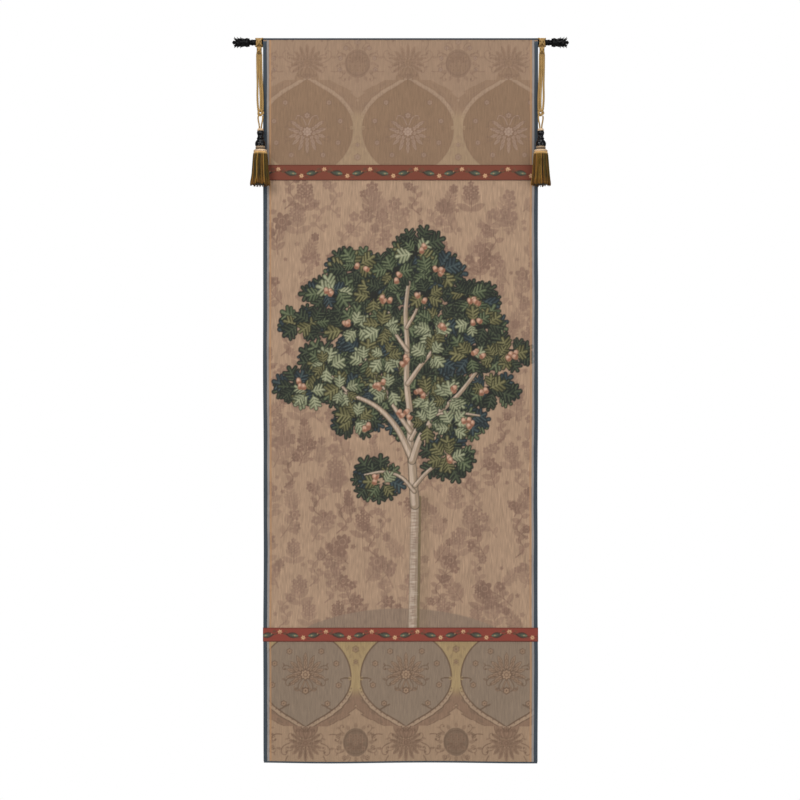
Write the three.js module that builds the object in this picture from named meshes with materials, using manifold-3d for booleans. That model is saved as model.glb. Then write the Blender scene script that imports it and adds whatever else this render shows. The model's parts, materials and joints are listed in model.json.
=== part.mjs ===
// Tapestry wall hanging: a woven panel on a black rod with leaf finials, gold cords and tassels.
// Millimetres, +Z up, the front faces -Y, the wall is the plane y = 0 and the rod axis is at z = 0.
import * as THREE from 'three';
import { mergeVertices } from 'three/addons/utils/BufferGeometryUtils.js';
import Module from 'manifold-3d';

const wasm = await Module();
wasm.setup();

// ---- driving dimensions ----
const GAP = 0.3; // air between pieces that touch

const PANEL_WIDTH = 711;
const PANEL_HEIGHT = 1880;
const PANEL_TOP = 9; // top edge above the rod axis
const CLOTH_THICK = 2;
const HOOK_CLEARANCE = 2.7; // between the hook and the back of the cloth
const PANEL_LEAN = 0.95; // degrees that the foot of the panel hangs in towards the wall
const LINING_THICK = 1;
const LINING_CLEARANCE = 6.7; // the lining starts this far under the hook
const TAPE_THICK = 0.6;
const SIDE_TAPE_WIDTH = 9;
const END_TAPE_WIDTH = 3.6;
const RIBBON_THICK = 0.7;
const RIBBON_TUCK = 4; // the ribbon's turned end behind the panel
const UPPER_RIBBON_TOP = -318;
const UPPER_RIBBON_WIDTH = 40;
const LOWER_RIBBON_TOP = -1519;
const LOWER_RIBBON_WIDTH = 36;

const SLEEVE_INSET = 43.5; // from the panel's edge to the sleeve's end, which leaves the rod bare for the hook
const SLEEVE_THICK = 1;
const SLEEVE_DROP = 62; // rod axis to the sleeve's bottom seam

const ROD_OFFSET = 45; // wall to the rod axis
const ROD_RADIUS = 7.5;
const ROD_WALL = 1;
const ROD_OVERHANG = 27.5; // rod beyond the panel's edge
const INSERT_LENGTH = 20;
const STUD_RADIUS = 3;
const STUD_IN_ROD = 17;

const COLLAR_LENGTH = 7;
const COLLAR_RISE = 1.1; // collar above the rod
const CUP_LENGTH = 39;
const CUP_RADIUS = 14.2; // reach of the curled leaves
const CUP_LEAVES = 8;
const TIP_RADIUS = 5.2;

const BRACKET_INSET = 20.5; // from the panel's edge to the middle of the hook
const HOOK_WIDTH = 7;
const HOOK_THICK = 2.5;
const HOOK_LIP = 3; // top of the hook's lip above the rod axis
const PLATE_WIDTH = 26;
const PLATE_HEIGHT = 70;
const PLATE_THICK = 4;
const PLATE_CORNER = 5;
const SCREW_HOLE = 5;
const SCREW_PITCH = 28;
const SCREW_DROP = 11.5; // from the arm's underside to the upper screw
const PLATE_RISE = 4; // top of the plate above the rod axis, which the panel hides
const ARM_HEIGHT = 9;

const WRAP_TURNS = 4;
const WRAP_CORD = 4.7;
const WRAP_CLEARANCE = 0.1;
const CORD_OUT = 6.9; // from the panel's edge to the middle of the knot and the tassel
const STRAND_DIAMETER = 4.8;
const BINDING_WIDTH = 14;
const BINDING_DEPTH = 7.6;
const BINDING_FOOT = -31.5;
const KNOT_LEVEL = -186; // height of the knot's centre
const KNOT_RADIUS = 9.5; // round as seen from the front, so the tassel can swing under it
const KNOT_DEPTH = 11;
const THIN_CORD = 3.6;
const RING_TOP = -227;
const RING_HEIGHT = 6;
const RING_RADIUS = 8.5;
const HEAD_HEIGHT = 21;
const BELL_HEIGHT = 18;
const BELL_RADIUS = 11.6;
const COLLAR_RING_HEIGHT = 15;
const COLLAR_RING_RADIUS = 14.4;
const SKIRT_HEIGHT = 88;
const SKIRT_TOP_RADIUS = 19;
const SKIRT_FOOT_RADIUS = 26;
const CORE_RADIUS = 2.2;
const CORE_KNOT = 5;

// ---- sizes that follow ----
const TAU = 2 * Math.PI;
const halfWidth = PANEL_WIDTH / 2;
const hookRadius = ROD_RADIUS + GAP + HOOK_THICK;
const clothBack = hookRadius + HOOK_CLEARANCE; // rod axis to the back of the cloth
const rodLength = PANEL_WIDTH + 2 * ROD_OVERHANG;
const bracketX = halfWidth - BRACKET_INSET;
const wrapX = halfWidth + GAP + TAPE_THICK + GAP + (WRAP_TURNS * WRAP_CORD) / 2 + WRAP_CLEARANCE;
const cordX = halfWidth + CORD_OUT;
const foot = PANEL_TOP - PANEL_HEIGHT;
const clothFront = -clothBack - CLOTH_THICK; // y in the panel's frame, whose origin is the rod axis
const tapeFace = clothFront - GAP - TAPE_THICK;
const ribbonFace = tapeFace - GAP - RIBBON_THICK;
const strandY = -(ROD_RADIUS + GAP + STRAND_DIAMETER / 2);
const ringBottom = RING_TOP - RING_HEIGHT;
const bellTop = ringBottom - GAP - HEAD_HEIGHT - GAP;
const collarTop = bellTop - BELL_HEIGHT - GAP;
const skirtTop = collarTop - COLLAR_RING_HEIGHT - GAP;
const skirtFoot = skirtTop - SKIRT_HEIGHT;
const wrapRadius = ROD_RADIUS + GAP + WRAP_CORD;
const bindingBack = -strandY - BINDING_DEPTH / 2;
const bindingTop = -Math.sqrt((wrapRadius + GAP) ** 2 - bindingBack ** 2);
const knotTop = KNOT_LEVEL + KNOT_RADIUS;
// The tassel leans on the panel's edge: this is its cord's angle in front of the panel's own plane.
const cordAngle = Math.asin((SKIRT_FOOT_RADIUS + strandY - ribbonFace + 2 * GAP) / -skirtFoot);

// ---- materials ----
const finish = (color, roughness, metalness = 0) => () =>
  new THREE.MeshStandardMaterial({ color, roughness, metalness });
const tapestryWool = finish(0xa68a72, 0.95);
const slateTape = finish(0x46525e, 0.95);
const redRibbon = finish(0x8e4e3e, 0.9);
const liningCotton = finish(0xb7a78d, 0.95);
const blackIron = finish(0x17181a, 0.45, 0.8);
const zincSteel = finish(0x9a9d9f, 0.35, 1);
const goldCord = finish(0xa88848, 0.8);
const darkHead = finish(0x14161c, 0.5);
const fringe = finish(0x6e5818, 0.85);

function named(name, geometry, material) {
  const mesh = new THREE.Mesh(geometry, material());
  mesh.name = name;
  return mesh;
}

// ---- solids ----
function toSolid(geometry) {
  const bare = geometry.clone();
  bare.deleteAttribute('normal');
  bare.deleteAttribute('uv');
  const merged = mergeVertices(bare, 1e-4);
  const vertProperties = new Float32Array(merged.attributes.position.array);
  const triVerts = new Uint32Array(merged.index.array);
  return new wasm.Manifold(new wasm.Mesh({ numProp: 3, vertProperties, triVerts }));
}

function fromSolid(solid) {
  const mesh = solid.getMesh();
  const geometry = new THREE.BufferGeometry();
  geometry.setAttribute('position', new THREE.BufferAttribute(mesh.vertProperties, 3));
  geometry.setIndex(new THREE.BufferAttribute(mesh.triVerts, 1));
  return geometry;
}

function cut(geometry, ...tools) {
  let solid = toSolid(geometry);
  for (const tool of tools) {
    solid = solid.subtract(toSolid(tool));
  }
  return fromSolid(solid);
}

function join(first, ...others) {
  let solid = toSolid(first);
  for (const other of others) {
    solid = solid.add(toSolid(other));
  }
  return fromSolid(solid);
}

function box(x0, x1, y0, y1, z0, z1) {
  const geometry = new THREE.BoxGeometry(x1 - x0, y1 - y0, z1 - z0);
  return geometry.translate((x0 + x1) / 2, (y0 + y1) / 2, (z0 + z1) / 2);
}

// A section drawn in the y-z plane as [y, z] points and run along X, centred on x.
function alongX(points, x, length) {
  const shape = new THREE.Shape(points.map(([y, z]) => new THREE.Vector2(y, z)));
  const geometry = new THREE.ExtrudeGeometry(shape, { depth: length, bevelEnabled: false });
  geometry.rotateX(Math.PI / 2).rotateZ(Math.PI / 2);
  return geometry.translate(x - length / 2, 0, 0);
}

// A section drawn in the x-y plane as [x, y] points and run up from z0 to z1.
function alongZ(points, z0, z1) {
  const shape = new THREE.Shape(points.map(([x, y]) => new THREE.Vector2(x, y)));
  return new THREE.ExtrudeGeometry(shape, { depth: z1 - z0, bevelEnabled: false }).translate(0, 0, z0);
}

// A profile of [radius, height] points turned about the Z axis.
function turned(profile, sides) {
  const points = profile.map(([radius, height]) => new THREE.Vector2(radius, height));
  return new THREE.LatheGeometry(points, sides).rotateX(Math.PI / 2);
}

// A profile of [radius, x] points turned about the X axis.
function turnedX(profile, sides) {
  const points = profile.map(([radius, x]) => new THREE.Vector2(radius, x));
  return new THREE.LatheGeometry(points, sides).rotateZ(-Math.PI / 2);
}

function arc(radius, from, to, steps) {
  const points = [];
  for (let i = 0; i <= steps; i += 1) {
    const angle = THREE.MathUtils.degToRad(from + ((to - from) * i) / steps);
    points.push([radius * Math.cos(angle), radius * Math.sin(angle)]);
  }
  return points;
}

function cordAlong(points, diameter, steps, sides = 8) {
  const path = new THREE.CatmullRomCurve3(points.map(([x, y, z]) => new THREE.Vector3(x, y, z)));
  const section = new THREE.Shape(
    arc(diameter / 2, 0, 360, sides).slice(0, -1).map(([x, y]) => new THREE.Vector2(x, y)),
  );
  return new THREE.ExtrudeGeometry(section, { steps, extrudePath: path, bevelEnabled: false });
}

// ---- panel: every y is behind (+) or in front (-) of the rod axis ----
function panelCloth() {
  return named(
    'tapestry_cloth',
    box(-halfWidth, halfWidth, clothFront, -clothBack, foot, PANEL_TOP),
    tapestryWool,
  );
}

function lining() {
  const half = halfWidth - SIDE_TAPE_WIDTH - GAP;
  const back = -clothBack + GAP + LINING_THICK;
  return named(
    'lining_cloth',
    box(-half, half, back - LINING_THICK, back, foot + END_TAPE_WIDTH + GAP, -hookRadius - LINING_CLEARANCE),
    liningCotton,
  );
}

// A tape folded over the cloth's edge, as a U section that opens towards the panel's middle.
function foldedTape(width) {
  const outer = GAP + TAPE_THICK;
  return [
    [width, clothFront - outer],
    [-outer, clothFront - outer],
    [-outer, -clothBack + outer],
    [width, -clothBack + outer],
    [width, -clothBack + GAP],
    [-GAP, -clothBack + GAP],
    [-GAP, clothFront - GAP],
    [width, clothFront - GAP],
  ];
}

function sideTape(side) {
  const section = foldedTape(SIDE_TAPE_WIDTH).map(([across, y]) => [side * (halfWidth - across), y]);
  const geometry = alongZ(section, foot + END_TAPE_WIDTH + GAP, PANEL_TOP - END_TAPE_WIDTH - GAP);
  return named(side < 0 ? 'left_edge_tape' : 'right_edge_tape', geometry, slateTape);
}

function endTape(name, edge, inward) {
  const section = foldedTape(END_TAPE_WIDTH).map(([across, y]) => [y, edge + inward * across]);
  return named(name, alongX(section, 0, PANEL_WIDTH), slateTape);
}

function ribbon(name, top, width) {
  const side = halfWidth + 2 * GAP + TAPE_THICK;
  const back = -clothBack + 2 * GAP + TAPE_THICK;
  const section = [
    [-side - RIBBON_THICK, ribbonFace],
    [side + RIBBON_THICK, ribbonFace],
    [side + RIBBON_THICK, back + RIBBON_THICK],
    [side - RIBBON_TUCK, back + RIBBON_THICK],
    [side - RIBBON_TUCK, back],
    [side, back],
    [side, ribbonFace + RIBBON_THICK],
    [-side, ribbonFace + RIBBON_THICK],
    [-side, back],
    [-side + RIBBON_TUCK, back],
    [-side + RIBBON_TUCK, back + RIBBON_THICK],
    [-side - RIBBON_THICK, back + RIBBON_THICK],
  ];
  return named(name, alongZ(section, top - width, top), redRibbon);
}

// The strip starts at the top edge, passes over and behind the rod and is sewn flat to the lining.
function rodSleeve() {
  const inner = ROD_RADIUS + GAP;
  const outer = inner + SLEEVE_THICK;
  const seamBack = -clothBack + 2 * GAP + LINING_THICK;
  const over = (radius) => arc(radius, 90, -35, 10);
  const seamTop = -SLEEVE_DROP + 16;
  const section = [
    [-clothBack + 2 * GAP + TAPE_THICK, outer],
    ...over(outer),
    [seamBack + SLEEVE_THICK, seamTop],
    [seamBack + SLEEVE_THICK, -SLEEVE_DROP],
    [seamBack, -SLEEVE_DROP],
    [seamBack, seamTop],
    ...over(inner).reverse(),
    [-clothBack + 2 * GAP + TAPE_THICK, inner],
  ];
  return named('rod_sleeve', alongX(section, 0, PANEL_WIDTH - 2 * SLEEVE_INSET), liningCotton);
}

function panelGroup() {
  const group = new THREE.Group();
  group.add(panelCloth(), lining(), sideTape(-1), sideTape(1));
  group.add(endTape('top_edge_tape', PANEL_TOP, -1), endTape('bottom_edge_tape', foot, 1));
  group.add(ribbon('upper_red_ribbon', UPPER_RIBBON_TOP, UPPER_RIBBON_WIDTH));
  group.add(ribbon('lower_red_ribbon', LOWER_RIBBON_TOP, LOWER_RIBBON_WIDTH));
  group.add(rodSleeve());
  group.rotation.x = THREE.MathUtils.degToRad(PANEL_LEAN);
  return group;
}

// ---- rod and finials ----
function rodTube() {
  const inner = ROD_RADIUS - ROD_WALL;
  const half = rodLength / 2;
  const profile = [
    [inner, -half],
    [ROD_RADIUS, -half],
    [ROD_RADIUS, half],
    [inner, half],
    [inner, -half],
  ];
  return named('rod_tube', turnedX(profile, 32), blackIron);
}

// Finial pieces are drawn for the right end, x measured outwards from the rod's end.
function outwards(side, geometry) {
  geometry.translate(rodLength / 2, 0, 0);
  return side < 0 ? geometry.rotateZ(Math.PI) : geometry;
}

function rodInsert(side) {
  const outer = ROD_RADIUS - ROD_WALL - GAP;
  const inner = STUD_RADIUS + GAP;
  const profile = [
    [inner, -INSERT_LENGTH],
    [outer, -INSERT_LENGTH],
    [outer, 0],
    [inner, 0],
    [inner, -INSERT_LENGTH],
  ];
  const name = side < 0 ? 'left_rod_insert' : 'right_rod_insert';
  return named(name, outwards(side, turnedX(profile, 20)), zincSteel);
}

function finialStud(side) {
  const reach = GAP + COLLAR_LENGTH + GAP + CUP_LENGTH / 2;
  const profile = [
    [0, -STUD_IN_ROD],
    [STUD_RADIUS, -STUD_IN_ROD],
    [STUD_RADIUS, reach],
    [0, reach],
  ];
  const name = side < 0 ? 'left_finial_stud' : 'right_finial_stud';
  return named(name, outwards(side, turnedX(profile, 16)), zincSteel);
}

function finialCollar(side) {
  const bore = STUD_RADIUS + GAP;
  const middle = GAP + COLLAR_LENGTH / 2;
  const profile = [
    [bore, GAP],
    [ROD_RADIUS, GAP],
    [ROD_RADIUS + COLLAR_RISE, middle - COLLAR_LENGTH / 5],
    [ROD_RADIUS + COLLAR_RISE, middle + COLLAR_LENGTH / 5],
    [ROD_RADIUS, GAP + COLLAR_LENGTH],
    [bore, GAP + COLLAR_LENGTH],
    [bore, GAP],
  ];
  const name = side < 0 ? 'left_finial_collar' : 'right_finial_collar';
  return named(name, outwards(side, turnedX(profile, 24)), blackIron);
}

// The cup flares to three rows of leaf tips: each row's radius swells at its leaves.
function finialCup(side) {
  const start = GAP + COLLAR_LENGTH + GAP;
  const bore = STUD_RADIUS + GAP;
  const boreEnd = start + CUP_LENGTH / 2 + GAP;
  const at = (share) => start + CUP_LENGTH * share;
  const reach = (share) => CUP_RADIUS * share;
  const profile = [
    [0, boreEnd],
    [bore, boreEnd],
    [bore, start],
    [reach(0.52), start],
    [reach(0.62), at(0.14)],
    [reach(0.84), at(0.28)],
    [reach(0.8), at(0.4)],
    [reach(0.66), at(0.52)],
    [reach(1), at(0.62)],
    [reach(0.72), at(0.7)],
    [reach(0.95), at(0.8)],
    [reach(0.6), at(0.87)],
    [reach(0.9), at(0.96)],
    [reach(0.45), at(1)],
    [0, at(1)],
  ];
  const geometry = turnedX(profile, CUP_LEAVES * 3);
  const positions = geometry.attributes.position;
  const point = new THREE.Vector3();
  for (let i = 0; i < positions.count; i += 1) {
    point.fromBufferAttribute(positions, i);
    const radius = Math.hypot(point.y, point.z);
    const swell = Math.max(0, (radius - reach(0.5)) / reach(0.5));
    const angle = Math.atan2(point.z, point.y);
    const shrink = 1 - 0.16 * swell * (1 - Math.cos(angle * CUP_LEAVES));
    positions.setXYZ(i, point.x, point.y * shrink, point.z * shrink);
  }
  const name = side < 0 ? 'left_finial_leaf_cup' : 'right_finial_leaf_cup';
  return named(name, outwards(side, geometry), blackIron);
}

function finialTip(side) {
  const start = GAP + COLLAR_LENGTH + GAP + CUP_LENGTH + GAP;
  const profile = [
    [0, start],
    [TIP_RADIUS * 0.7, start],
    [TIP_RADIUS, start + TIP_RADIUS * 0.5],
    [TIP_RADIUS * 0.75, start + TIP_RADIUS],
    [TIP_RADIUS * 0.35, start + TIP_RADIUS * 1.3],
    [0, start + TIP_RADIUS * 1.4],
  ];
  const name = side < 0 ? 'left_finial_tip' : 'right_finial_tip';
  return named(name, outwards(side, turnedX(profile, 20)), blackIron);
}

function rodGroup() {
  const group = new THREE.Group();
  group.add(rodTube());
  for (const side of [-1, 1]) {
    group.add(rodInsert(side), finialStud(side), finialCollar(side), finialCup(side), finialTip(side));
  }
  return group;
}

// ---- brackets: the hook hangs under the rod and its arm runs back to the wall plate ----
function wallPlate(side) {
  const x = side * bracketX;
  const half = PLATE_WIDTH / 2;
  const outline = new THREE.Shape();
  outline.moveTo(-half + PLATE_CORNER, -PLATE_HEIGHT / 2);
  outline.absarc(half - PLATE_CORNER, -PLATE_HEIGHT / 2 + PLATE_CORNER, PLATE_CORNER, -Math.PI / 2, 0);
  outline.absarc(half - PLATE_CORNER, PLATE_HEIGHT / 2 - PLATE_CORNER, PLATE_CORNER, 0, Math.PI / 2);
  outline.absarc(-half + PLATE_CORNER, PLATE_HEIGHT / 2 - PLATE_CORNER, PLATE_CORNER, Math.PI / 2, Math.PI);
  outline.absarc(-half + PLATE_CORNER, -PLATE_HEIGHT / 2 + PLATE_CORNER, PLATE_CORNER, Math.PI, TAU * 0.75);
  const middle = PLATE_RISE - PLATE_HEIGHT / 2;
  const upperScrew = -ROD_RADIUS - ARM_HEIGHT - SCREW_DROP - middle;
  for (const z of [upperScrew, upperScrew - SCREW_PITCH]) {
    const hole = new THREE.Path();
    hole.absarc(0, z, SCREW_HOLE / 2, 0, TAU, true);
    outline.holes.push(hole);
  }
  const options = { depth: PLATE_THICK, bevelEnabled: false, curveSegments: 5 };
  const geometry = new THREE.ExtrudeGeometry(outline, options);
  geometry.rotateX(Math.PI / 2).translate(x, 0, middle);
  return named(side < 0 ? 'left_wall_plate' : 'right_wall_plate', geometry, blackIron);
}

function bracketArm(side) {
  const x = side * bracketX;
  const inner = ROD_RADIUS + GAP;
  const outer = hookRadius;
  const lipAngle = 180 - THREE.MathUtils.radToDeg(Math.asin(HOOK_LIP / outer));
  const section = [
    ...arc(outer, lipAngle, 270, 10),
    ...arc(outer, 270, 360, 8).slice(1),
    ...arc(inner, 360, 270, 8),
    ...arc(inner, 270, lipAngle, 10).slice(1),
  ];
  const hook = alongX(section, x, HOOK_WIDTH);
  const armTop = -ROD_RADIUS;
  const armBack = ROD_OFFSET - PLATE_THICK - GAP;
  const half = HOOK_WIDTH / 2;
  const arm = box(x - half, x + half, 0, armBack, armTop - ARM_HEIGHT, armTop);
  const bore = turnedX([[0, x - half - 1], [inner, x - half - 1], [inner, x + half + 1], [0, x + half + 1]], 32);
  const geometry = cut(join(hook, arm), bore);
  return named(side < 0 ? 'left_bracket_arm' : 'right_bracket_arm', geometry, blackIron);
}

// ---- gold cord: every y and z is in the cord's own leaning frame, whose origin is the rod axis ----
function cordWrap(side) {
  const inner = ROD_RADIUS + GAP;
  const profile = [[inner, -(WRAP_TURNS * WRAP_CORD) / 2]];
  for (let turn = 0; turn < WRAP_TURNS; turn += 1) {
    const x = (turn - (WRAP_TURNS - 1) / 2) * WRAP_CORD;
    for (const [dx, dr] of arc(WRAP_CORD / 2, 150, 30, 3)) {
      profile.push([inner + WRAP_CORD / 2 + dr, x + dx]);
    }
  }
  profile.push([inner, (WRAP_TURNS * WRAP_CORD) / 2]);
  profile.push(profile[0]);
  const geometry = turnedX(profile, 20).translate(side * wrapX, 0, 0);
  return named(side < 0 ? 'left_cord_wrap' : 'right_cord_wrap', geometry, goldCord);
}

function cordBinding(side) {
  const profile = [
    [0, BINDING_FOOT],
    [0.85, BINDING_FOOT],
    [1, BINDING_FOOT + 3],
    [1, bindingTop],
    [0, bindingTop],
  ];
  const geometry = turned(profile, 20).scale(BINDING_WIDTH / 2, BINDING_DEPTH / 2, 1);
  geometry.translate(side * wrapX, strandY, 0);
  return named(side < 0 ? 'left_cord_binding' : 'right_cord_binding', geometry, goldCord);
}

// The strands' shared route: [x outwards from the panel's edge, z], and how far each lies from it in pitches.
const STRAND_PITCH = STRAND_DIAMETER + GAP + 0.1;
const STRAND_ROUTE = [[10.8, -32], [10.2, -70], [8.6, -110], [7, -140], [6.5, -162], [6.9, -176]];
const STRAND_PLACES = {
  outer: [1, 1.02, 1.15, 1.5, 1.45, 1.02],
  middle: [0, 0, 0, 0, 0, 0],
  inner: [-1, -1.02, -1.02, -1.02, -1.02, -1.02],
};

function hangingStrand(side, which) {
  const points = STRAND_ROUTE.map(([out, z], i) => {
    const x = halfWidth + out + STRAND_PLACES[which][i] * STRAND_PITCH;
    return [side * x, strandY, z];
  });
  points[0][2] = BINDING_FOOT - GAP;
  points[points.length - 1][2] = knotTop + GAP;
  const word = side < 0 ? 'left' : 'right';
  return named(`${word}_strand_${which}`, cordAlong(points, STRAND_DIAMETER, 18), goldCord);
}

function tasselKnot(side) {
  const geometry = new THREE.SphereGeometry(KNOT_RADIUS, 20, 10).rotateX(Math.PI / 2);
  geometry.scale(1, KNOT_DEPTH / 2 / KNOT_RADIUS, 1).translate(side * cordX, strandY, KNOT_LEVEL);
  return named(side < 0 ? 'left_tassel_knot' : 'right_tassel_knot', geometry, goldCord);
}

function tasselCord(side, which) {
  const away = which === 'outer' ? 1 : -1;
  const spread = KNOT_RADIUS * 0.65;
  const underKnot = Math.sqrt((KNOT_RADIUS + GAP) ** 2 - (spread - THIN_CORD / 2) ** 2);
  const offsets = [
    [spread, KNOT_LEVEL - underKnot],
    [spread * 0.9, KNOT_LEVEL - underKnot - 10],
    [THIN_CORD * 0.85, RING_TOP + 10],
    [THIN_CORD * 0.6, RING_TOP + GAP],
  ];
  const points = offsets.map(([dx, z]) => [side * (cordX + away * dx), strandY, z]);
  const word = side < 0 ? 'left' : 'right';
  return named(`${word}_tassel_cord_${which}`, cordAlong(points, THIN_CORD, 8), goldCord);
}

// A turned ring of the tassel with the core cord's bore through it.
function tasselTurning(side, word, profile, material) {
  const bore = CORE_RADIUS + GAP;
  const [, bottom] = profile[0];
  const [, top] = profile[profile.length - 1];
  const outline = [[bore, bottom], ...profile, [bore, top], [bore, bottom]];
  const geometry = turned(outline, 20).translate(side * cordX, strandY, 0);
  return named(`${side < 0 ? 'left' : 'right'}_tassel_${word}`, geometry, material);
}

function tasselRing(side) {
  const profile = [
    [RING_RADIUS * 0.7, ringBottom],
    [RING_RADIUS, ringBottom + RING_HEIGHT * 0.3],
    [RING_RADIUS, RING_TOP - RING_HEIGHT * 0.3],
    [RING_RADIUS * 0.6, RING_TOP],
  ];
  return tasselTurning(side, 'top_ring', profile, goldCord);
}

function tasselHead(side) {
  const top = ringBottom - GAP;
  const level = (share) => top - HEAD_HEIGHT * share;
  const profile = [
    [BELL_RADIUS * 0.68, level(1)],
    [BELL_RADIUS * 0.86, level(0.82)],
    [BELL_RADIUS * 0.84, level(0.6)],
    [BELL_RADIUS * 0.56, level(0.4)],
    [BELL_RADIUS * 0.56, level(0.22)],
    [BELL_RADIUS * 0.7, level(0)],
  ];
  return tasselTurning(side, 'head', profile, darkHead);
}

function tasselBell(side) {
  const level = (share) => bellTop - BELL_HEIGHT * share;
  const profile = [
    [BELL_RADIUS * 0.8, level(1)],
    [BELL_RADIUS, level(0.8)],
    [BELL_RADIUS, level(0.55)],
    [BELL_RADIUS * 0.84, level(0.25)],
    [BELL_RADIUS * 0.66, level(0)],
  ];
  return tasselTurning(side, 'bell', profile, darkHead);
}

function tasselCollar(side) {
  const level = (share) => collarTop - COLLAR_RING_HEIGHT * share;
  const profile = [
    [COLLAR_RING_RADIUS * 0.86, level(1)],
    [COLLAR_RING_RADIUS, level(0.8)],
    [COLLAR_RING_RADIUS * 0.9, level(0.5)],
    [COLLAR_RING_RADIUS, level(0.25)],
    [COLLAR_RING_RADIUS * 0.8, level(0)],
  ];
  return tasselTurning(side, 'collar_ring', profile, goldCord);
}

const coreKnotTop = skirtTop - 4;

function tasselSkirt(side) {
  const bore = CORE_RADIUS + GAP;
  const hollow = CORE_KNOT + GAP;
  const hollowTop = coreKnotTop + GAP;
  const hollowFoot = coreKnotTop - 2 * CORE_KNOT - GAP;
  const profile = [
    [0, skirtFoot],
    [SKIRT_FOOT_RADIUS, skirtFoot],
    [SKIRT_FOOT_RADIUS * 0.97, skirtFoot + SKIRT_HEIGHT * 0.12],
    [SKIRT_TOP_RADIUS * 1.12, skirtTop - SKIRT_HEIGHT * 0.3],
    [SKIRT_TOP_RADIUS, skirtTop - SKIRT_HEIGHT * 0.06],
    [SKIRT_TOP_RADIUS * 0.86, skirtTop],
    [bore, skirtTop],
    [bore, hollowTop],
    [hollow, hollowTop],
    [hollow, hollowFoot],
    [0, hollowFoot],
  ];
  const geometry = turned(profile, 24).translate(side * cordX, strandY, 0);
  return named(side < 0 ? 'left_tassel_skirt' : 'right_tassel_skirt', geometry, fringe);
}

// The core cord runs through the head and ends in a stop knot inside the skirt.
function tasselCore(side) {
  const top = RING_TOP - RING_HEIGHT * 0.3;
  const profile = [
    [0, coreKnotTop - 2 * CORE_KNOT],
    [CORE_KNOT * 0.7, coreKnotTop - 2 * CORE_KNOT],
    [CORE_KNOT, coreKnotTop - CORE_KNOT],
    [CORE_KNOT * 0.7, coreKnotTop],
    [CORE_RADIUS, coreKnotTop],
    [CORE_RADIUS, top],
    [0, top],
  ];
  const geometry = turned(profile, 16).translate(side * cordX, strandY, 0);
  return named(side < 0 ? 'left_tassel_core' : 'right_tassel_core', geometry, goldCord);
}

function cordGroup(side) {
  const group = new THREE.Group();
  group.add(cordBinding(side), tasselKnot(side));
  for (const which of ['outer', 'middle', 'inner']) {
    group.add(hangingStrand(side, which));
  }
  for (const which of ['outer', 'inner']) {
    group.add(tasselCord(side, which));
  }
  group.add(tasselRing(side), tasselHead(side), tasselBell(side), tasselCollar(side));
  group.add(tasselSkirt(side), tasselCore(side));
  group.rotation.x = THREE.MathUtils.degToRad(PANEL_LEAN) - cordAngle;
  return group;
}

// ---- assembly ----
const onRodAxis = new THREE.Group();
onRodAxis.position.y = -ROD_OFFSET;
onRodAxis.add(panelGroup(), rodGroup());
const group = new THREE.Group();
for (const side of [-1, 1]) {
  onRodAxis.add(bracketArm(side), cordWrap(side), cordGroup(side));
  group.add(wallPlate(side));
}
group.add(onRodAxis);

export default group;
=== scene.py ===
import json
import math

import bpy
import numpy as np
from mathutils import Matrix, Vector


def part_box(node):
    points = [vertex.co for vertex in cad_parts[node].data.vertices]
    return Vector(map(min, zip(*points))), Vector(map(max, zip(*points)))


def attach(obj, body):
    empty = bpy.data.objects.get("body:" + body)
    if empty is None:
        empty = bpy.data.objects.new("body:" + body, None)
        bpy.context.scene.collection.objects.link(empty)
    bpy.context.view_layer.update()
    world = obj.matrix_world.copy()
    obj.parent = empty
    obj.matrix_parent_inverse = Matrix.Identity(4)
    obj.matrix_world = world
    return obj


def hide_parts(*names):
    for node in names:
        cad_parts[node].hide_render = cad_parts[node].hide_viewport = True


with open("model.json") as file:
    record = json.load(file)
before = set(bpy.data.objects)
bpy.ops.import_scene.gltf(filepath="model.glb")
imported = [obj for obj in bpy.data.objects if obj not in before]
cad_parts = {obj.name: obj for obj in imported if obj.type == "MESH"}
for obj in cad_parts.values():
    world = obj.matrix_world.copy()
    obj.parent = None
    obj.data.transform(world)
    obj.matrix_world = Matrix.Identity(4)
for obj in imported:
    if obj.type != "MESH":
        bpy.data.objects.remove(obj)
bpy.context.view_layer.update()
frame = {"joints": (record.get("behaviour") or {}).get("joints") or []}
mm = 0.001
bothSides = ((-1, "left"), (1, "right"))

# ---- where the hanging is: all lengths in metres ----
rodLow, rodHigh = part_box("rod_tube")
rodY = (rodLow[1] + rodHigh[1]) / 2
rodRadius = (rodHigh[2] - rodLow[2]) / 2
hang = dict(
    panelLean=0.95,  # degrees that the foot hangs in towards the wall
    strandOffset=10.2 * mm,  # rod axis to the strands' centre line
    knotDrop=186 * mm,  # rod axis to the knot along the cord
    waveDepth=3.2 * mm,  # how far the panel waves in and out low down
    waveStart=0.42,  # metres below the rod where the waves begin
    waveFull=1.3,  # and where they are at their deepest
    edgeWaver=0.9 * mm,  # how unevenly the side edges hang
)
knotPlace = next(j["pos_m"] for j in frame["joints"] if j["name"] == "right_tassel_swing")
cordX = knotPlace[0]
cordLean = (math.atan2(rodY - knotPlace[1], -knotPlace[2])
            - math.atan2(hang["strandOffset"], hang["knotDrop"]))


def leaning(angle):
    return Matrix.Translation((0, rodY, 0)) @ Matrix.Rotation(angle, 4, "X")


panelPlace = leaning(math.radians(hang["panelLean"]))
cordPlace = leaning(-cordLean)
rodPlace = leaning(0)


def smoothStep(low, high, value):
    t = np.clip((value - low) / (high - low), 0, 1)
    return t * t * (3 - 2 * t)


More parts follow.
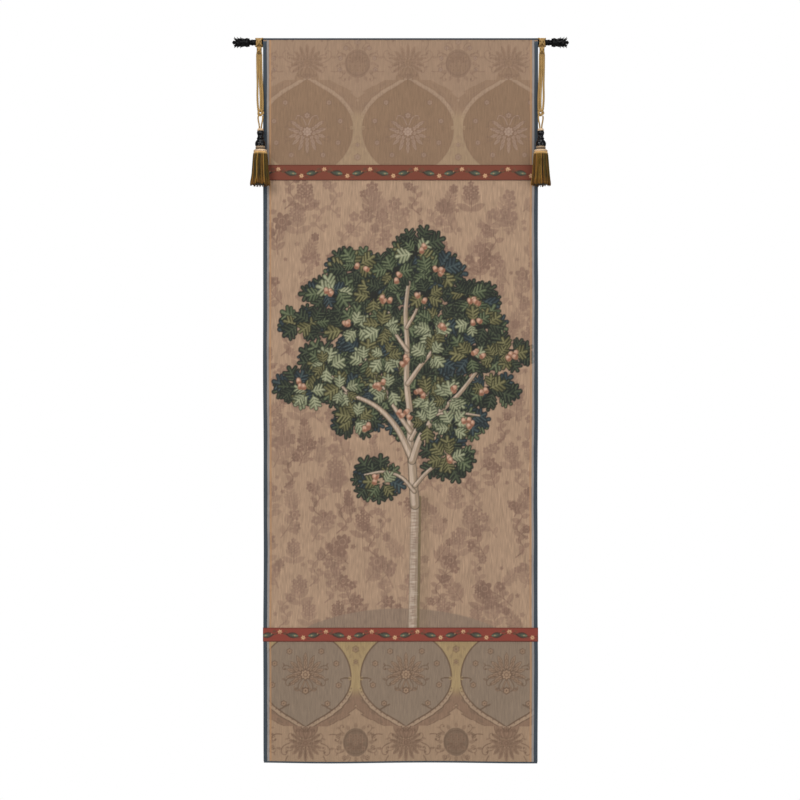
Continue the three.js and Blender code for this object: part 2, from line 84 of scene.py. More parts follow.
def panelWave(x, z):
    # soft in-and-out waves of the hung cloth, none near the rod, where it is held flat
    depth = hang["waveDepth"] * smoothStep(hang["waveStart"], hang["waveFull"], -z)
    wave = np.sin(x * 9.5 + 0.6 * np.sin(z * 3.1)) * 0.6 + np.sin(x * 21 + z * 2.3 + 1.2) * 0.25
    wave = wave + 0.5 * np.sin(z * 5.2 + x * 2 + 0.4)
    return depth * wave * 0.8


def panelWarp(x, y, z):
    # the waves, uneven side edges and a slightly uneven foot
    side = smoothStep(0.2, 0.3555, np.abs(x)) * np.sign(x)
    waver = hang["edgeWaver"] * (np.sin(z * 7.3 + 1.1) * 0.7 + np.sin(z * 19 + x * 3) * 0.3)
    foot = smoothStep(1.5, 1.871, -z) * hang["edgeWaver"] * 1.2 * np.sin(x * 13 + 0.7)
    fade = smoothStep(0.35, 0.6, -z)
    return x + side * waver * fade, y + panelWave(x, z), z + foot


# ---- making meshes ----
def newPiece(name, points, faces, place, material, body, smooth=True):
    mesh = bpy.data.meshes.new(name)
    mesh.from_pydata(np.asarray(points).reshape(-1, 3).tolist(), [], faces)
    mesh.transform(place)
    mesh.materials.append(material)
    if smooth:
        mesh.polygons.foreach_set("use_smooth", [True] * len(mesh.polygons))
    mesh.update()
    piece = bpy.data.objects.new(name, mesh)
    bpy.context.scene.collection.objects.link(piece)
    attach(piece, body)
    return piece


def ringFaces(rings, around, start, looped):
    k = np.arange(rings if looped else rings - 1)[:, None]
    j = np.arange(around)[None, :]
    here, after = start + k * around, start + (k + 1) % rings * around
    turned = (j + 1) % around
    faces = np.stack([here + j, here + turned, after + turned, after + j], -1).reshape(-1, 4).tolist()
    if not looped:
        faces.append(list(range(start + around - 1, start - 1, -1)))
        last = start + (rings - 1) * around
        faces.append(list(range(last, last + around)))
    return faces


class Parts:
    # gathers the closed shells that make up one piece, each with its tint
    def __init__(self):
        self.points = []
        self.faces = []
        self.tints = []
        self.count = 0

    def addRings(self, rings, looped=False, tint=1.0):
        rings = np.asarray(rings, float)
        total = rings.shape[0] * rings.shape[1]
        self.faces += ringFaces(rings.shape[0], rings.shape[1], self.count, looped)
        self.points.append(rings.reshape(-1, 3))
        self.tints.append(np.broadcast_to(tint, (total, 3)))
        self.count += total

    def piece(self, name, place, material, body, slotName, node):
        made = newPiece(name, np.concatenate(self.points), self.faces, place, material, body)
        addTint(made, np.concatenate(self.tints))
        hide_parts(node)
        return made


def addTint(piece, colours, name="threadTint"):
    layer = piece.data.color_attributes.new(name, "FLOAT_COLOR", "POINT")
    values = np.ones((len(colours), 4), np.float32)
    values[:, :3] = colours
    layer.data.foreach_set("color", values.ravel())


def smoothPath(points, step):
    # even steps along a curve through the points
    p = np.asarray(points, float)
    ends = np.vstack([2 * p[0] - p[1], p, 2 * p[-1] - p[-2]])
    t = np.linspace(0, 1, 24, endpoint=False)[:, None]
    runs = []
    for a, b, c, d in zip(ends[:-3], ends[1:-2], ends[2:-1], ends[3:]):
        squared, cubed = 2 * a - 5 * b + 4 * c - d, 3 * b - a - 3 * c + d
        runs.append(0.5 * (2 * b + (c - a) * t + squared * t**2 + cubed * t**3))
    return evenPath(np.vstack([*runs, p[-1:]]), step)


def distances(path):
    # how far along a path each of its points lies
    return np.concatenate([[0], np.cumsum(np.linalg.norm(np.diff(path, axis=0), axis=1))])


def pathLength(path):
    return float(np.linalg.norm(np.diff(path, axis=0), axis=1).sum())


def evenPath(fine, step):
    along = distances(fine)
    count = max(4, int(round(along[-1] / step)) + 1)
    at = np.linspace(0, along[-1], count)
    return np.stack([np.interp(at, along, fine[:, k]) for k in range(3)], -1)


def pathFrames(path, looped):
    # two directions across a path that don't spin as it bends
    ahead = np.roll(path, -1, 0) - np.roll(path, 1, 0)
    if not looped:
        ahead[0] = path[1] - path[0]
        ahead[-1] = path[-1] - path[-2]
    ahead /= np.linalg.norm(ahead, axis=1)[:, None]
    side = np.cross(ahead[0], (0.13, 0.97, 0.21))
    sides = []
    for direction in ahead:
        side = side - direction * np.dot(side, direction)
        side = side / np.linalg.norm(side)
        sides.append(side)
    sides = np.array(sides)
    return sides, np.cross(ahead, sides)


def ropeRings(path, diameter, plies, twistLength, depth, around, looped=False, ends=0.0):
    # a twisted cord: its lobed section turns as it goes along
    sides, ups = pathFrames(path, looped)
    gone = distances(path)
    turns = gone / twistLength
    if looped:
        length = gone[-1] + np.linalg.norm(path[-1] - path[0])
        turns = gone / length * (max(1, round(plies * length / twistLength)) / plies)
    phi = np.arange(around) * 2 * math.pi / around
    lobes = np.abs(np.cos((phi[None, :] - 2 * math.pi * turns[:, None]) * plies / 2))
    radius = diameter / 2 * (1 - depth + depth * lobes**0.8)
    if ends:
        taper = np.sqrt(np.clip(np.minimum(gone, gone[-1] - gone) / ends, 0.04, 1))
        radius = radius * taper[:, None]
    across = np.cos(phi)[None, :, None] * sides[:, None, :] + np.sin(phi)[None, :, None] * ups[:, None, :]
    return path[:, None, :] + radius[..., None] * across


def turnedRings(profile, around, flutes=0, fluteDepth=0.0):
    # profile of (radius, height, how fluted from 0 to 1)
    phi = np.arange(around) * 2 * math.pi / around
    rings = []
    for radius, height, *share in profile:
        cut = 1 - fluteDepth * (share[0] if share else 0) * (1 - np.abs(np.cos(phi * flutes / 2)) ** 0.6)
        reach = radius * cut
        rings.append(np.stack([reach * np.cos(phi), reach * np.sin(phi), np.full(around, height)], -1))
    return np.array(rings)


def roundedProfile(points, steps):
    # turns a few (radius, height) points into a smooth outline
    path = smoothPath([(r, 0, h) for r, h in points], 1e-9 + pathLength(points) / (steps * len(points)))
    return [(max(r, 1e-5), h) for r, _, h in path]


def alongRod(rings, side=1):
    # a shape turned about Z, laid along the rod with its height pointing outwards
    rings = np.asarray(rings)
    return np.stack([side * rings[..., 2], rings[..., 1], side * -rings[..., 0]], -1)


# ---- shader building ----
def toLinear(values):
    # screen values from 0 to 1, as linear light
    return np.where(values <= 0.04045, values / 12.92, ((values + 0.055) / 1.055) ** 2.4)


def colour(r, g, b):
    return toLinear(np.array([r, g, b]) / 255)


def rgba(r, g, b):
    return (*[float(v) for v in colour(r, g, b)], 1.0)


def newGroup(name, inputs, outputs):
    group = bpy.data.node_groups.new(name, "ShaderNodeTree")
    for label, kind, value in inputs:
        socket = group.interface.new_socket(label, in_out="INPUT", socket_type="NodeSocket" + kind)
        if value is not None:
            socket.default_value = value
    for label, kind in outputs:
        group.interface.new_socket(label, in_out="OUTPUT", socket_type="NodeSocket" + kind)
    return group, group.nodes.new("NodeGroupInput"), group.nodes.new("NodeGroupOutput")


def addNode(tree, kind, values=None, **links):
    node = tree.nodes.new(kind)
    for key, value in (values or {}).items():
        if hasattr(node, key):
            setattr(node, key, value)
        else:
            node.inputs[key].default_value = value
    for key, source in links.items():
        tree.links.new(source, node.inputs[key.replace("_", " ")])
    return node


def fill(tree, socket, value):
    # a socket gets either a plain value or another node's output
    if isinstance(value, (int, float, tuple)):
        socket.default_value = value
    else:
        tree.links.new(value, socket)


def maths(tree, operation, a, b=0.0):
    node = tree.nodes.new("ShaderNodeMath")
    node.operation = operation
    fill(tree, node.inputs[0], a)
    fill(tree, node.inputs[1], b)
    return node.outputs[0]


def mixColour(tree, blend, amount, a, b):
    node = tree.nodes.new("ShaderNodeMix")
    node.data_type = "RGBA"
    node.blend_type = blend
    for value, socket in ((amount, node.inputs[0]), (a, node.inputs[6]), (b, node.inputs[7])):
        fill(tree, socket, value)
    return node.outputs[2]


def placeNoise(tree, scale, size, detail=3.0, rough=0.55):
    # noise in object space, stretched by its scale along each axis
    where = tree.nodes.new("ShaderNodeTexCoord")
    mapping = addNode(tree, "ShaderNodeMapping", {"Scale": scale}, Vector=where.outputs["Object"])
    noise = addNode(tree, "ShaderNodeTexNoise", {"Scale": size, "Detail": detail, "Roughness": rough},
                    Vector=mapping.outputs[0])
    return noise.outputs["Fac"]


def weaveGroup():
    # crossing threads: ribs along the panel and weft threads across it
    group, given, out = newGroup(
        "wovenThreads",
        [("Rib Spacing", "Float", 0.0024), ("Weft Spacing", "Float", 0.0016), ("Streak Size", "Float", 300.0),
         ("Streak Length", "Float", 5.0)],
        [("Height", "Float"), ("Streaks", "Float"), ("Mottle", "Float")])

    def do(operation, a, b=0.0):
        return maths(group, operation, a, b)

    where = group.nodes.new("ShaderNodeTexCoord")
    x, _, z = addNode(group, "ShaderNodeSeparateXYZ", Vector=where.outputs["Object"]).outputs
    spacing, weftSpacing, streakSize, streakLength = list(given.outputs)[:4]
    waver = do("MULTIPLY", placeNoise(group, (40, 40, 40), 1.0), 1.6)
    rib = do("SINE", do("ADD", do("MULTIPLY", do("DIVIDE", x, spacing), 2 * math.pi), waver))
    offset = do("MULTIPLY", do("SIGN", rib), 0.5 * math.pi)
    weftPhase = do("MULTIPLY", do("DIVIDE", z, weftSpacing), 2 * math.pi)
    weft = do("SINE", do("ADD", do("ADD", weftPhase, offset), waver))
    threads = do("ADD", do("MULTIPLY", rib, 0.3), do("MULTIPLY", weft, 0.2))
    group.links.new(do("ADD", threads, 0.5), out.inputs["Height"])
    stretched = group.nodes.new("ShaderNodeCombineXYZ")
    group.links.new(do("MULTIPLY", x, streakSize), stretched.inputs[0])
    group.links.new(do("MULTIPLY", z, streakLength), stretched.inputs[2])
    streaks = addNode(group, "ShaderNodeTexNoise", {"Scale": 1.0, "Detail": 2.0, "Roughness": 0.6},
                      Vector=stretched.outputs[0])
    group.links.new(streaks.outputs["Fac"], out.inputs["Streaks"])
    group.links.new(placeNoise(group, (1, 1, 1), 9.0, 4.0, 0.6), out.inputs["Mottle"])
    return group


def fibreGroup():
    # fine fibres and a soft worn lightness for cord, fringe and tape
    group, given, out = newGroup(
        "fineFibres",
        [("Scale", "Float", 900.0), ("Stretch", "Float", 0.15)],
        [("Fibres", "Float"), ("Tone", "Float")])
    where = group.nodes.new("ShaderNodeTexCoord")
    split = addNode(group, "ShaderNodeSeparateXYZ", Vector=where.outputs["Object"])
    joined = group.nodes.new("ShaderNodeCombineXYZ")
    group.links.new(split.outputs[0], joined.inputs[0])
    group.links.new(split.outputs[1], joined.inputs[1])
    group.links.new(maths(group, "MULTIPLY", split.outputs[2], given.outputs[1]), joined.inputs[2])
    fibres = group.nodes.new("ShaderNodeTexNoise")
    fibres.inputs["Detail"].default_value = 2.0
    group.links.new(joined.outputs[0], fibres.inputs["Vector"])
    group.links.new(given.outputs[0], fibres.inputs["Scale"])
    group.links.new(fibres.outputs["Fac"], out.inputs["Fibres"])
    group.links.new(placeNoise(group, (1, 1, 1), 60.0, 3.0), out.inputs["Tone"])
    return group


def edgesAndShadeGroup():
    # where edges stand out and hollows sink, from how the surface bends: painted shade in hollows and painted
    # highlights on edges for cord and lacquer, lighter edges on iron
    group, given, out = newGroup(
        "edgesAndPaintedShade",
        [("Low", "Float", 0.5), ("High", "Float", 0.62)],
        [("Edge", "Float"), ("Speckle", "Float")])
    bend = group.nodes.new("ShaderNodeNewGeometry").outputs["Pointiness"]
    edge = group.nodes.new("ShaderNodeMapRange")
    group.links.new(bend, edge.inputs["Value"])
    group.links.new(given.outputs[0], edge.inputs["From Min"])
    group.links.new(given.outputs[1], edge.inputs["From Max"])
    speckle = placeNoise(group, (1, 1, 1), 420.0, 4.0, 0.7)
    group.links.new(maths(group, "MULTIPLY", edge.outputs[0], speckle), out.inputs["Edge"])
    group.links.new(speckle, out.inputs["Speckle"])
    return group


weave = weaveGroup()
fibre = fibreGroup()
edgesAndShade = edgesAndShadeGroup()


def useGroup(tree, group, **values):
    node = tree.nodes.new("ShaderNodeGroup")
    node.node_tree = group
    for key, value in values.items():
        node.inputs[key.replace("_", " ")].default_value = value
    return node


def newMaterial(name, **sockets):
    material = bpy.data.materials.new(name)
    material.use_nodes = True
    tree = material.node_tree
    shader = tree.nodes["Principled BSDF"]
    for key, value in sockets.items():
        shader.inputs[key.replace("_", " ")].default_value = value
    return material, tree, shader


def addBump(tree, shader, height, strength, distance):
    bump = tree.nodes.new("ShaderNodeBump")
    bump.inputs["Strength"].default_value = strength
    bump.inputs["Distance"].default_value = distance
    tree.links.new(height, bump.inputs["Height"])
    tree.links.new(bump.outputs[0], shader.inputs["Normal"])


def spread(tree, value, low, high):
    # a value from 0 to 1 turned into a multiplier between low and high
    node = tree.nodes.new("ShaderNodeMapRange")
    node.inputs["To Min"].default_value = low
    node.inputs["To Max"].default_value = high
    node.inputs["From Min"].default_value = 0.25
    node.inputs["From Max"].default_value = 0.75
    tree.links.new(value, node.inputs["Value"])
    return node.outputs[0]


def scaleColour(tree, base, amount):
    # a colour times a value
    node = tree.nodes.new("ShaderNodeVectorMath")
    node.operation = "SCALE"
    tree.links.new(base, node.inputs[0])
    tree.links.new(amount, node.inputs["Scale"])
    return node.outputs[0]


def threadCloth(name, values, tintName=None, baseColour=None):
    # woven cloth: its drawn or plain colour, threads with painted shade in their hollows, streaks and a soft
    # sheen
    material, tree, shader = newMaterial(
        name, Roughness=0.9, Sheen_Weight=values["sheen"], Sheen_Roughness=0.5, Specular_IOR_Level=0.25)
    threads = useGroup(tree, weave, Rib_Spacing=values["rib"], Weft_Spacing=values["weft"],
                       Streak_Size=values["streakSize"], Streak_Length=values["streakLength"])
    if tintName:
        base = addNode(tree, "ShaderNodeVertexColor", {"layer_name": tintName}).outputs[0]
    else:
        tone = addNode(tree, "ShaderNodeRGB")
        tone.outputs[0].default_value = baseColour
        base = tone.outputs[0]
    # the threads' height darkens the colour in their hollows: painted shade
    for output, key in (("Streaks", "streak"), ("Height", "threadShade"), ("Mottle", "mottle")):
        amount = spread(tree, threads.outputs[output], 1 - values[key], 1 + values[key])
        base = scaleColour(tree, base, amount)
    tree.links.new(base, shader.inputs["Base Color"])
    rough = maths(tree, "ADD", maths(tree, "MULTIPLY", threads.outputs["Height"], -0.12), 0.96)
    tree.links.new(rough, shader.inputs["Roughness"])
    addBump(tree, shader, threads.outputs["Height"], values["bump"], 0.0006)
    return material


def twistedThread(name, dark, light, sheen=0.5, rough=0.55):
    # gold or brown cord: painted shade where the plies meet and a painted highlight on their backs
    material, tree, shader = newMaterial(
        name, Roughness=rough, Sheen_Weight=sheen, Sheen_Roughness=0.35, Specular_IOR_Level=0.28)
    fibres = useGroup(tree, fibre, Scale=1400.0, Stretch=0.4)
    edges = useGroup(tree, edgesAndShade, Low=0.44, High=0.56)
    tint = addNode(tree, "ShaderNodeVertexColor", {"layer_name": "threadTint"}).outputs[0]
    # how the surface bends lightens the plies' backs and darkens where they meet: painted highlight and
    # painted shade, with fibres on top
    lightness = maths(tree, "ADD", maths(tree, "MULTIPLY", edges.outputs["Edge"], 0.9),
                      maths(tree, "MULTIPLY", fibres.outputs["Fibres"], 0.55))
    ramp = tree.nodes.new("ShaderNodeValToRGB")
    ramp.color_ramp.elements[0].color = dark
    ramp.color_ramp.elements[0].position = 0.28
    ramp.color_ramp.elements[1].color = light
    ramp.color_ramp.elements[1].position = 0.75
    tree.links.new(lightness, ramp.inputs[0])
    base = mixColour(tree, "MULTIPLY", 1.0, ramp.outputs[0], tint)
    base = scaleColour(tree, base, spread(tree, fibres.outputs["Tone"], 0.86, 1.14))
    tree.links.new(base, shader.inputs["Base Color"])
    tree.links.new(maths(tree, "ADD", maths(tree, "MULTIPLY", fibres.outputs["Fibres"], 0.25), rough - 0.12),
                   shader.inputs["Roughness"])
    addBump(tree, shader, fibres.outputs["Fibres"], 0.35, 0.0003)
    return material


def hardFinish(name, values):
    # iron, zinc or lacquer: two tones parted by edges or speckle (lighter edges on iron, a painted highlight
    # on lacquer's edges), and a speckled shine
    material, tree, shader = newMaterial(
        name, Metallic=values["metal"], Specular_IOR_Level=values["specular"], Coat_Weight=values["coat"],
        Coat_Roughness=values["coatRough"])
    edges = useGroup(tree, edgesAndShade, Low=0.5, High=values["edgeHigh"])
    speckle = edges.outputs["Speckle"]
    dark, light = rgba(*values["dark"]), rgba(*values["light"])
    base = mixColour(tree, "MIX", edges.outputs[values["parting"]], dark, light)
    if values["uneven"]:
        base = scaleColour(tree, base, spread(tree, speckle, 1 - values["uneven"], 1 + values["uneven"]))
    tree.links.new(base, shader.inputs["Base Color"])
    tree.links.new(spread(tree, speckle, *values["rough"]), shader.inputs["Roughness"])
    addBump(tree, shader, speckle, values["bump"], values["bumpDepth"])
    return material


# ---- camera first ----
view = dict(distance=6.965, lens=120, sensor=36, height=-0.9275, across=-0.0015)
cameraData = bpy.data.cameras.new("frontCamera")
cameraData.lens = view["lens"]
cameraData.sensor_width = view["sensor"]
camera = bpy.data.objects.new("frontCamera", cameraData)
camera.location = (view["across"], -view["distance"], view["height"])
camera.rotation_euler = (math.pi / 2, 0, 0)
bpy.context.scene.collection.objects.link(camera)
bpy.context.scene.camera = camera

# ---- the materials of metal, lacquer and thread ----
iron = hardFinish("satinBlackIron", dict(
    metal=0.0, specular=0.16, coat=0.06, coatRough=0.25, edgeHigh=0.6, parting="Edge", dark=(1, 1, 2),
    light=(11, 12, 11), uneven=0.2, rough=(0.34, 0.5), bump=0.08, bumpDepth=0.0005))
zinc = hardFinish("zincPlatedSteel", dict(
    metal=1.0, specular=0.5, coat=0.0, coatRough=0.03, edgeHigh=0.62, parting="Speckle", dark=(138, 140, 142),
    light=(182, 184, 186), uneven=0, rough=(0.28, 0.42), bump=0.1, bumpDepth=0.0003))
# the lacquer's light bluish tone on its edges is a painted highlight
lacquer = hardFinish("blackLacquer", dict(
    metal=0.0, specular=0.2, coat=0.3, coatRough=0.08, edgeHigh=0.62, parting="Edge", dark=(5, 5, 9),
    light=(30, 30, 48), uneven=0, rough=(0.2, 0.25), bump=0.02, bumpDepth=0.0003))
goldThread = twistedThread("goldCordThread", rgba(24, 15, 4), rgba(206, 166, 102), 0.05, 0.48)
brightThread = twistedThread("brightGoldThread", rgba(96, 54, 24), rgba(255, 222, 182), 0.1, 0.45)
fringeThread = twistedThread("fringeThread", rgba(16, 11, 0), rgba(168, 134, 56), 0.0, 0.62)

# ---- cords: hung strands and the thin cords that carry each tassel ----
cord = dict(
    strand=4.8 * mm,
    thin=3.6 * mm,
    # how much fuller the rope looks than its core, its twist, depth of twist, points around, tapered ends
    strandLook=(1.0 * mm, 19 * mm, 0.25, 24, 2 * mm),
    thinLook=(0.5 * mm, 11 * mm, 0.2, 20, 1.5 * mm),
    gap=0.4 * mm,
    bindingFoot=31.5 * mm,
    knot=9.5 * mm,
    ringTop=227 * mm,
    halfWidth=355.5 * mm,
)
strandPitch = cord["strand"] + cord["gap"]
# out from the panel's edge and down from the rod, in mm, and how many pitches each strand lies beside it
strandRoute = [(10.8, -32), (10.2, -70), (8.6, -110), (7, -140), (6.5, -162), (6.9, -176)]
strandPlaces = dict(
    outer=(1, 1.02, 1.15, 1.5, 1.45, 1.02), middle=(0,) * 6, inner=(-1, -1.02, -1.02, -1.02, -1.02, -1.02))


def strandPath(side, which):
    points = []
    for (out, z), place in zip(strandRoute, strandPlaces[which]):
        x = cord["halfWidth"] + out * mm + place * strandPitch
        points.append((side * x, -hang["strandOffset"], z * mm))
    points[0] = (*points[0][:2], -cord["bindingFoot"] + 1.5 * mm)
    points[-1] = (*points[-1][:2], -hang["knotDrop"] + 5 * mm)
    return smoothPath(points, 0.9 * mm)


def thinPath(side, away):
    top = -hang["knotDrop"] - cord["knot"] * 0.72
    offsets = [(5.2, top / mm), (6.0, -198), (5.4, -206), (3.2, -217), (2.0, -cord["ringTop"] / mm - 2)]
    points = [(side * (cordX + away * dx * mm), -hang["strandOffset"], z * mm) for dx, z in offsets]
    return smoothPath(points, 0.7 * mm)


def placed(path, place):
    return [tuple(place @ Matrix.Translation(point).to_translation()) for point in path]


def hangCord(name, node, path, diameter, look, body):
    fuller, twist, depth, around, ends = look
    rope = Parts()
    rope.addRings(ropeRings(path, diameter + fuller, 3, twist, depth, around, ends=ends))
    piece = rope.piece(name, cordPlace, goldThread, body, "gold_cord", node)
    line = placed(path, cordPlace)
    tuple(line[0])


for side, word in bothSides:
    for which in ("outer", "middle", "inner"):
        hangCord(f"{word}{which.capitalize()}Strand", f"{word}_strand_{which}", strandPath(side, which),
                 cord["strand"], cord["strandLook"], f"{word}_cord")
    for which, away in (("outer", 1), ("inner", -1)):
        hangCord(f"{word}{which.capitalize()}TasselCord", f"{word}_tassel_cord_{which}", thinPath(side, away),
                 cord["thin"], cord["thinLook"], f"{word}_tassel")
print("cords hung")


# ---- the woven design, drawn in millimetres across and down from the rod ----
class ClothPicture:
    def __init__(self, left, right, foot, top, cells, ground):
        self.x = np.linspace(left, right, cells[0] + 1)
        self.z = np.linspace(foot, top, cells[1] + 1)
        self.tone = np.empty((len(self.z), len(self.x), 3))
        self.tone[:] = ground
        self.soft = (right - left) / cells[0] * 1.1

    def within(self, left, right, foot, top):
        # the rows and columns between these places
        columns, rows = np.searchsorted(self.x, (left, right)), np.searchsorted(self.z, (foot, top))
        return slice(*rows), slice(*columns)

    def blend(self, where, tone, cover):
        patch = self.tone[where]
        patch += (tone - patch) * cover[..., None]

    def stamp(self, x, z, reach, distance, shade, turn=0.0, strength=1.0):
        # lays a shade wherever the distance is below zero, within reach of the place
        where = self.within(x - reach, x + reach, z - reach, z + reach)
        across = self.x[where[1]][None, :] - x
        up = self.z[where[0]][:, None] - z
        if not (across.size and up.size):
            return
        u = across * math.cos(turn) + up * math.sin(turn)
        v = -across * math.sin(turn) + up * math.cos(turn)
        tone = shade(u, v) if callable(shade) else np.array(shade, float)
        self.blend(where, tone, strength * np.clip(0.5 - distance(u, v) / self.soft, 0, 1))

    def line(self, points, width, shade, endWidth=None, strength=1.0):
        # a stroke along the points that narrows to endWidth
        p = smoothPath([(x, 0, z) for x, z in points], 2.5)[:, [0, 2]]
        widths = np.linspace(width, width if endWidth is None else endWidth, len(p)) / 2
        reach = widths.max() + 3
        low, high = p.min(0) - reach, p.max(0) + reach
        where = self.within(low[0], high[0], low[1], high[1])
        gx, gz = self.x[where[1]][None, :], self.z[where[0]][:, None]
        if not (gx.size and gz.size):
            return
        nearest = np.full((gz.size, gx.size), 1e3)
        for a, b, w in zip(p[:-1], p[1:], widths):
            run = b - a
            t = np.clip(((gx - a[0]) * run[0] + (gz - a[1]) * run[1]) / (run @ run + 1e-9), 0, 1)
            nearest = np.minimum(nearest, np.hypot(gx - a[0] - t * run[0], gz - a[1] - t * run[1]) - w)
        self.blend(where, np.array(shade, float), strength * np.clip(0.5 - nearest / self.soft, 0, 1))

    def linear(self):
        return toLinear(np.clip(self.tone, 0, 255) / 255)


def disc(radius):
    return lambda u, v: np.hypot(u, v) - radius


def oval(a, b):
    return lambda u, v: (np.hypot(u / a, v / b) - 1) * min(a, b)


def hoop(radius, width):
    return lambda u, v: np.abs(np.hypot(u, v) - radius) - width / 2


def petals(count, radius, depth=0.32):
    def distance(u, v):
        angle = np.arctan2(u, v)
        return np.hypot(u, v) - radius * (1 - depth + depth * np.abs(np.cos(angle * count / 2)))
    return distance


def leafShape(length, width):
    # a pointed leaf from its stalk at 0 to its tip
    def distance(u, v):
        t = np.clip(v / length, 0, 1)
        half = width / 2 * np.sin(math.pi * t**0.85) ** 0.8
        beyond = np.maximum(np.maximum(-v, v - length), 0)
        return np.maximum(np.abs(u) - half, beyond - 0.2)
    return distance


def oakBones(length, width):
    # the middle rib and its side ribs: foot, end, and the leaf's half width at each
    bones = [((0, 0), (0, length * 0.88), length * 0.05, length * 0.12)]
    for along, reach, lobe in oak["lobes"]:
        for hand in (-1, 1):
            foot = (0, length * (along - 0.12))
            end = (hand * reach * width / 2, length * (along + 0.07))
            bones.append((foot, end, length * 0.1, length * lobe))
    return bones


def nearBones(u, v, bones):
    # how far a point is from the leaf's edge and from its nearest rib
    edge = np.full(np.shape(u * v), 1e3)
    rib = edge.copy()
    for foot, end, startHalf, endHalf in bones:
        run = np.subtract(end, foot)
        t = np.clip(((u - foot[0]) * run[0] + (v - foot[1]) * run[1]) / (run @ run), 0, 1)
        away = np.hypot(u - foot[0] - t * run[0], v - foot[1] - t * run[1])
        edge = np.minimum(edge, away - startHalf - (endHalf - startHalf) * t)
        rib = np.minimum(rib, away)
    return edge, rib


def mixTone(a, b, share):
    return np.asarray(a, float) + (np.asarray(b, float) - np.asarray(a, float)) * share[..., None]


def oakShade(bones, rim, middle, light, lit):
    # darker towards the rim, lighter along the ribs and on the lit half
    def shade(u, v):
        edge, rib = nearBones(u, v, bones)
        tone = mixTone(rim, middle, smoothStep(0.0, 3.4, -edge))
        threads = 0.72 + 0.28 * np.cos(u * 2.1 * lit + v * 1.3)
        feather = smoothStep(0.8, 5.0, -edge) * smoothStep(-14, 6, u * lit) * threads
        veins = smoothStep(1.7, 0.3, rib) * smoothStep(0.6, 2.5, -edge)
        return mixTone(tone, light, np.clip(0.75 * feather + 0.25 * veins, 0, 1))
    return shade


draw = np.random.default_rng(41)

# what the design is woven in, as screen colours
tones = dict(
    field=(179, 149, 124),
    motif=(150, 121, 103),
    motifDark=(138, 109, 93),
    paleLine=(150, 152, 156),
    tanLine=(186, 142, 104),
    hill=(149, 127, 109),
    bark=(190, 169, 150),
    barkRung=(150, 124, 108),
    barkPale=(206, 188, 170),
    barkShade=(158, 136, 116),
    barkDark=(120, 104, 84),
    oliveShadow=(124, 107, 80),
    softShadow=(138, 116, 92),
)


def flowerSpray(picture, x, z, size, turn, tone):
    # a bending stalk with paired leaves, a bloom at its end and a bud beside it
    ahead = np.array([math.sin(turn), math.cos(turn)])
    beside = np.array([ahead[1], -ahead[0]])
    bend = draw.uniform(-0.35, 0.35)
    at = [np.array([x, z]) + ahead * size * t + beside * size * bend * t * t for t in (0, 0.35, 0.7, 1)]
    picture.line(at, 3.2, tone, 2.2, 0.8)
    for t in (0.15, 0.4, 0.62):
        foot = np.array([x, z]) + ahead * size * t + beside * size * bend * t * t
        for hand in (-1, 1):
            if draw.random() < 0.8:
                length = size * draw.uniform(0.34, 0.48)
                lean = -(turn + hand * draw.uniform(0.7, 1.2))
                picture.stamp(*foot, length + 4, leafShape(length, length * 0.5), tone, lean, 0.85)
                tip = foot + np.array([-math.sin(lean), math.cos(lean)]) * length * 0.7
                picture.line([foot, tip], 1.2, tones["field"], 0.8, 0.6)
    bloom = size * draw.uniform(0.2, 0.27)
    count = int(draw.integers(5, 8))
    picture.stamp(*at[3], bloom * 2, petals(count, bloom * 1.15, 0.4), tone, draw.uniform(0, 3), 0.9)
    picture.stamp(*at[3], bloom, hoop(bloom * 0.42, 1.6), tones["field"], 0, 0.7)
    side = at[2] + beside * size * draw.choice((-0.3, 0.3))
    picture.line([at[1], side], 2.4, tone, 1.8, 0.7)
    picture.stamp(*side, bloom * 1.5, petals(5, bloom * 0.75, 0.35), tone, draw.uniform(0, 3), 0.85)
    picture.stamp(*side, bloom, disc(bloom * 0.16), tones["field"], 0, 0.7)


def leafySprig(picture, x, z, size, turn, tone):
    # a stalk of many narrow leaves
    ahead = np.array([math.sin(turn), math.cos(turn)])
    picture.line([(x, z), (x + ahead[0] * size, z + ahead[1] * size)], 2.8, tone, 1.8, 0.8)
    for i in range(6):
        t = 0.12 + 0.14 * i
        foot = (x + ahead[0] * size * t, z + ahead[1] * size * t)
        length = size * (0.4 - 0.035 * i) * draw.uniform(0.85, 1.15)
        for hand in (-1, 1):
            leaf = leafShape(length, length * 0.36)
            picture.stamp(*foot, length + 4, leaf, tone, -(turn + hand * 0.85), 0.8)
    end = (x + ahead[0] * size, z + ahead[1] * size)
    picture.stamp(*end, size * 0.3, petals(6, size * 0.16, 0.35), tone, 0, 0.85)


def tieredBloom(picture, x, z, size, turn, tone):
    # a tall flower head of stacked florets above two broad leaves
    picture.line([(x, z), (x + size * 0.04, z + size * 0.9)], 3, tone, 2, 0.8)
    for i in range(4):
        level = z + size * (0.5 + 0.15 * i)
        count = (2, 3, 3, 1)[i]
        for k in range(count):
            a = x + (k - (count - 1) / 2) * size * 0.17
            picture.stamp(a, level, size * 0.2, petals(5, size * 0.105, 0.35), tone, draw.uniform(0, 3), 0.85)
            picture.stamp(a, level, size * 0.1, disc(size * 0.022), tones["field"], 0, 0.6)
    for hand in (-1, 1):
        for rise, length, wide, lean in ((0.06, 0.52, 0.22, 1.15), (0.26, 0.44, 0.18, 0.8)):
            leaf = leafShape(size * length, size * wide)
            picture.stamp(x, z + size * rise, size * 0.6, leaf, tone, hand * lean, 0.85)


